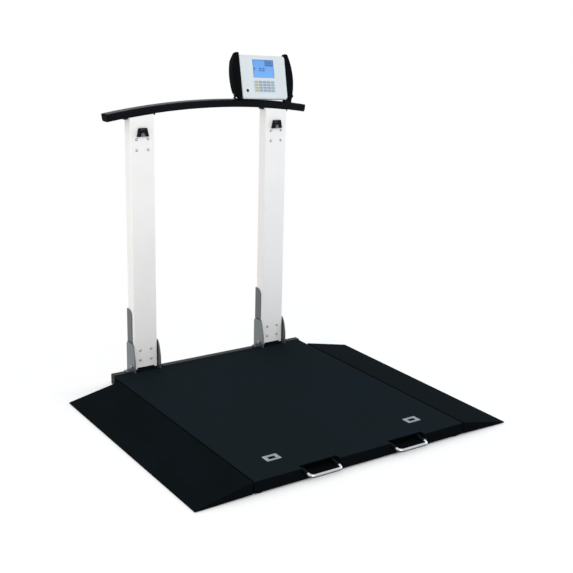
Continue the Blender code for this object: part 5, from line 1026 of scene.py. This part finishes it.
# what the keys show: numbers on the middle columns, plain marks on the others
keyMarks = {"digitWidth": 0.0026, "digitHeight": 0.0048, "stroke": 0.0005, "above": 0.0003, "thick": 0.00006,
            "dash": ((-0.0036, -0.0004), (0.0036, 0.0004)),
            "lines": [((-0.0026, 0.0004), (0.0026, 0.0010)), ((-0.0018, -0.0010), (0.0018, -0.0004))]}
numbers = {(1, 3): "1", (2, 3): "2", (3, 3): "3", (1, 2): "4", (2, 2): "5", (3, 2): "6",
           (1, 1): "7", (2, 1): "8", (3, 1): "9", (2, 0): "0"}
x0, z0, x1, z1 = displayFace["keys"]
pitchX, pitchZ = (x1 - x0 - keys["gap"]) / keys["columns"], (z1 - z0 - keys["gap"]) / keys["rows"]
width, height, stroke = keyMarks["digitWidth"], keyMarks["digitHeight"], keyMarks["stroke"]
keyBars = []
for column, row in [(column, row) for column in range(keys["columns"]) for row in range(keys["rows"])]:
    x = x0 + keys["gap"] / 2 + (column + 0.5) * pitchX
    z = z0 + keys["gap"] / 2 + (row + 0.5) * pitchZ
    if (column, row) in numbers:
        digit = numbers[(column, row)]
        keyBars += segmentBars(digit, x - width / 2, z - height / 2, width, height, stroke)
    else:
        marks = [keyMarks["dash"]] if column == 0 else keyMarks["lines"]
        keyBars += [((x + a[0], z + a[1]), (x + b[0], z + b[1])) for a, b in marks]
flatBars("key_marks", keyBars, keyInkMaterial, keyMarks["thick"], keys["proud"] + keyMarks["above"])
print("screen:", len(bars), "bars; keys:", len(keyBars), "marks")

# power button: a cap, domed as proud - dome (1 - cos), in a bright ring
button = {"x": -0.076, "z": -0.051, "radius": 0.0049, "proud": 0.0014, "dome": 0.0010, "deep": 0.006,
          "ring": (0.0053, 0.0066), "ringHeight": 0.0006, "ringDepth": 0.0008, "ringBevel": 0.0004}
buttonPlace = displayPlace @ at(button["x"], 0, button["z"]) @ facingFront
turns = np.linspace(0.2, math.pi / 2, 8)
dome = np.column_stack([button["radius"] * np.sin(turns), button["proud"] - button["dome"] * (1 - np.cos(turns))])
rest = [(button["radius"], -button["deep"]), (0.0001, -button["deep"])]
cap = np.concatenate([[(0.0001, button["proud"])], dome, rest])[::-1]
add(lattice("power_cap", latheGrid(cap, buttonPlace, 32), caps=False), "black_plastic", "power_button",
    replaced=["power_button"])
inner, outer = button["ring"]
height, depth, bevel = button["ringHeight"], button["ringDepth"], button["ringBevel"]
ring = [(inner, -depth), (outer, -depth), (outer, height - bevel), (outer - bevel, height),
        (inner + bevel, height), (inner, height - bevel), (inner, -depth)]
add(lattice("power_ring", latheGrid(ring, buttonPlace, 40), caps=False), "bright_steel", "display")
print("power button: cap and ring")

# camera
cameraData = bpy.data.cameras.new("photo_camera")
cameraData.lens = view["lens"]
cameraData.sensor_width = 36
cameraData.shift_x, cameraData.shift_y = view["shift"]
cameraData.clip_end = 100
camera = bpy.data.objects.new("photo_camera", cameraData)
turn = Matrix((view["right"], [-v for v in view["down"]], [-v for v in view["forward"]])).transposed()
camera.matrix_world = at(*view["place"]) @ turn.to_4x4()
bpy.context.scene.collection.objects.link(camera)
bpy.context.scene.camera = camera


def addLamp(name, look):
    data = bpy.data.lights.new(name, "AREA")
    data.size = look["size"]
    data.energy = look["power"]
    data.color = look["colour"]
    lamp = bpy.data.objects.new(name, data)
    place = Vector(look["place"])
    turn = (Vector(look["aim"]) - place).to_track_quat("-Z", "Y").to_matrix().to_4x4()
    lamp.matrix_world = Matrix.Translation(place) @ turn
    bpy.context.scene.collection.objects.link(lamp)


for name in ("key", "side", "fill", "rim"):
    addLamp(f"{name}_lamp", lights[name])


# 1 on the rays that show the background: those of the camera, and those in metal and glass
def seenRays(tree):
    path = tree.nodes.new("ShaderNodeLightPath")
    mirrored = mathNode(tree, "MAXIMUM", path.outputs["Is Glossy Ray"], path.outputs["Is Transmission Ray"])
    return mathNode(tree, "MAXIMUM", path.outputs["Is Camera Ray"], mirrored)


# the world is white where it is seen, and a little dimmer as a light
world = bpy.data.worlds.new("studio")
bpy.context.scene.world = world
world.use_nodes = True
worldTree = world.node_tree
background = worldTree.nodes["Background"]
background.inputs["Color"].default_value = (1, 1, 1, 1)
extra = mathNode(worldTree, "MULTIPLY", seenRays(worldTree), 1 - lights["world"])
worldTree.links.new(mathNode(worldTree, "ADD", lights["world"], extra), background.inputs["Strength"])

floorMesh = bpy.data.meshes.new("floor")
far = floorLook["size"] / 2
floorMesh.from_pydata([(-far, -far, 0), (far, -far, 0), (far, far, 0), (-far, far, 0)], [], [(0, 1, 2, 3)])
floor = bpy.data.objects.new("floor", floorMesh)
bpy.context.scene.collection.objects.link(floor)
floorMaterial, floorTree, floorShader = newMaterial("studio_floor")
floorShader.inputs["Base Color"].default_value = (*floorLook["colour"], 1)
floorShader.inputs["Roughness"].default_value = floorLook["rough"]
floorShader.inputs["Specular IOR Level"].default_value = 0.0
spot = splitPlace(floorTree, objectCoords(floorTree))
outX = mathNode(floorTree, "SUBTRACT", mathNode(floorTree, "ABSOLUTE", spot[0]), floorLook["halfWidth"])
outY = mathNode(floorTree, "SUBTRACT", mathNode(floorTree, "ABSOLUTE", spot[1]), floorLook["halfDepth"])
away = mathNode(floorTree, "MAXIMUM", outX, outY)


# a share that eases from start to end while the distance from the shaded field goes from low to high
def shareBetween(low, high, start, end):
    node = addNode(floorTree, "ShaderNodeMapRange", From_Min=low, From_Max=high, To_Min=start, To_Max=end)
    node.interpolation_type = "SMOOTHSTEP"
    floorTree.links.new(away, node.inputs["Value"])
    return node.outputs[0]


nearby = shareBetween(0, floorLook["middleAt"], floorLook["near"], floorLook["middle"])
distant = shareBetween(floorLook["middleAt"], floorLook["farAt"], 0, 1 - floorLook["middle"])
share = mathNode(floorTree, "MULTIPLY", seenRays(floorTree), mathNode(floorTree, "ADD", nearby, distant))
glow = floorTree.nodes.new("ShaderNodeEmission")
mixer = floorTree.nodes.new("ShaderNodeMixShader")
for index, socket in enumerate((share, floorShader.outputs[0], glow.outputs[0])):
    floorTree.links.new(socket, mixer.inputs[index])
floorTree.links.new(mixer.outputs[0], floorTree.nodes["Material Output"].inputs["Surface"])
floorMesh.materials.append(floorMaterial)
print("camera, lamps, world and floor")

bpy.context.scene.view_settings.view_transform = "Standard"
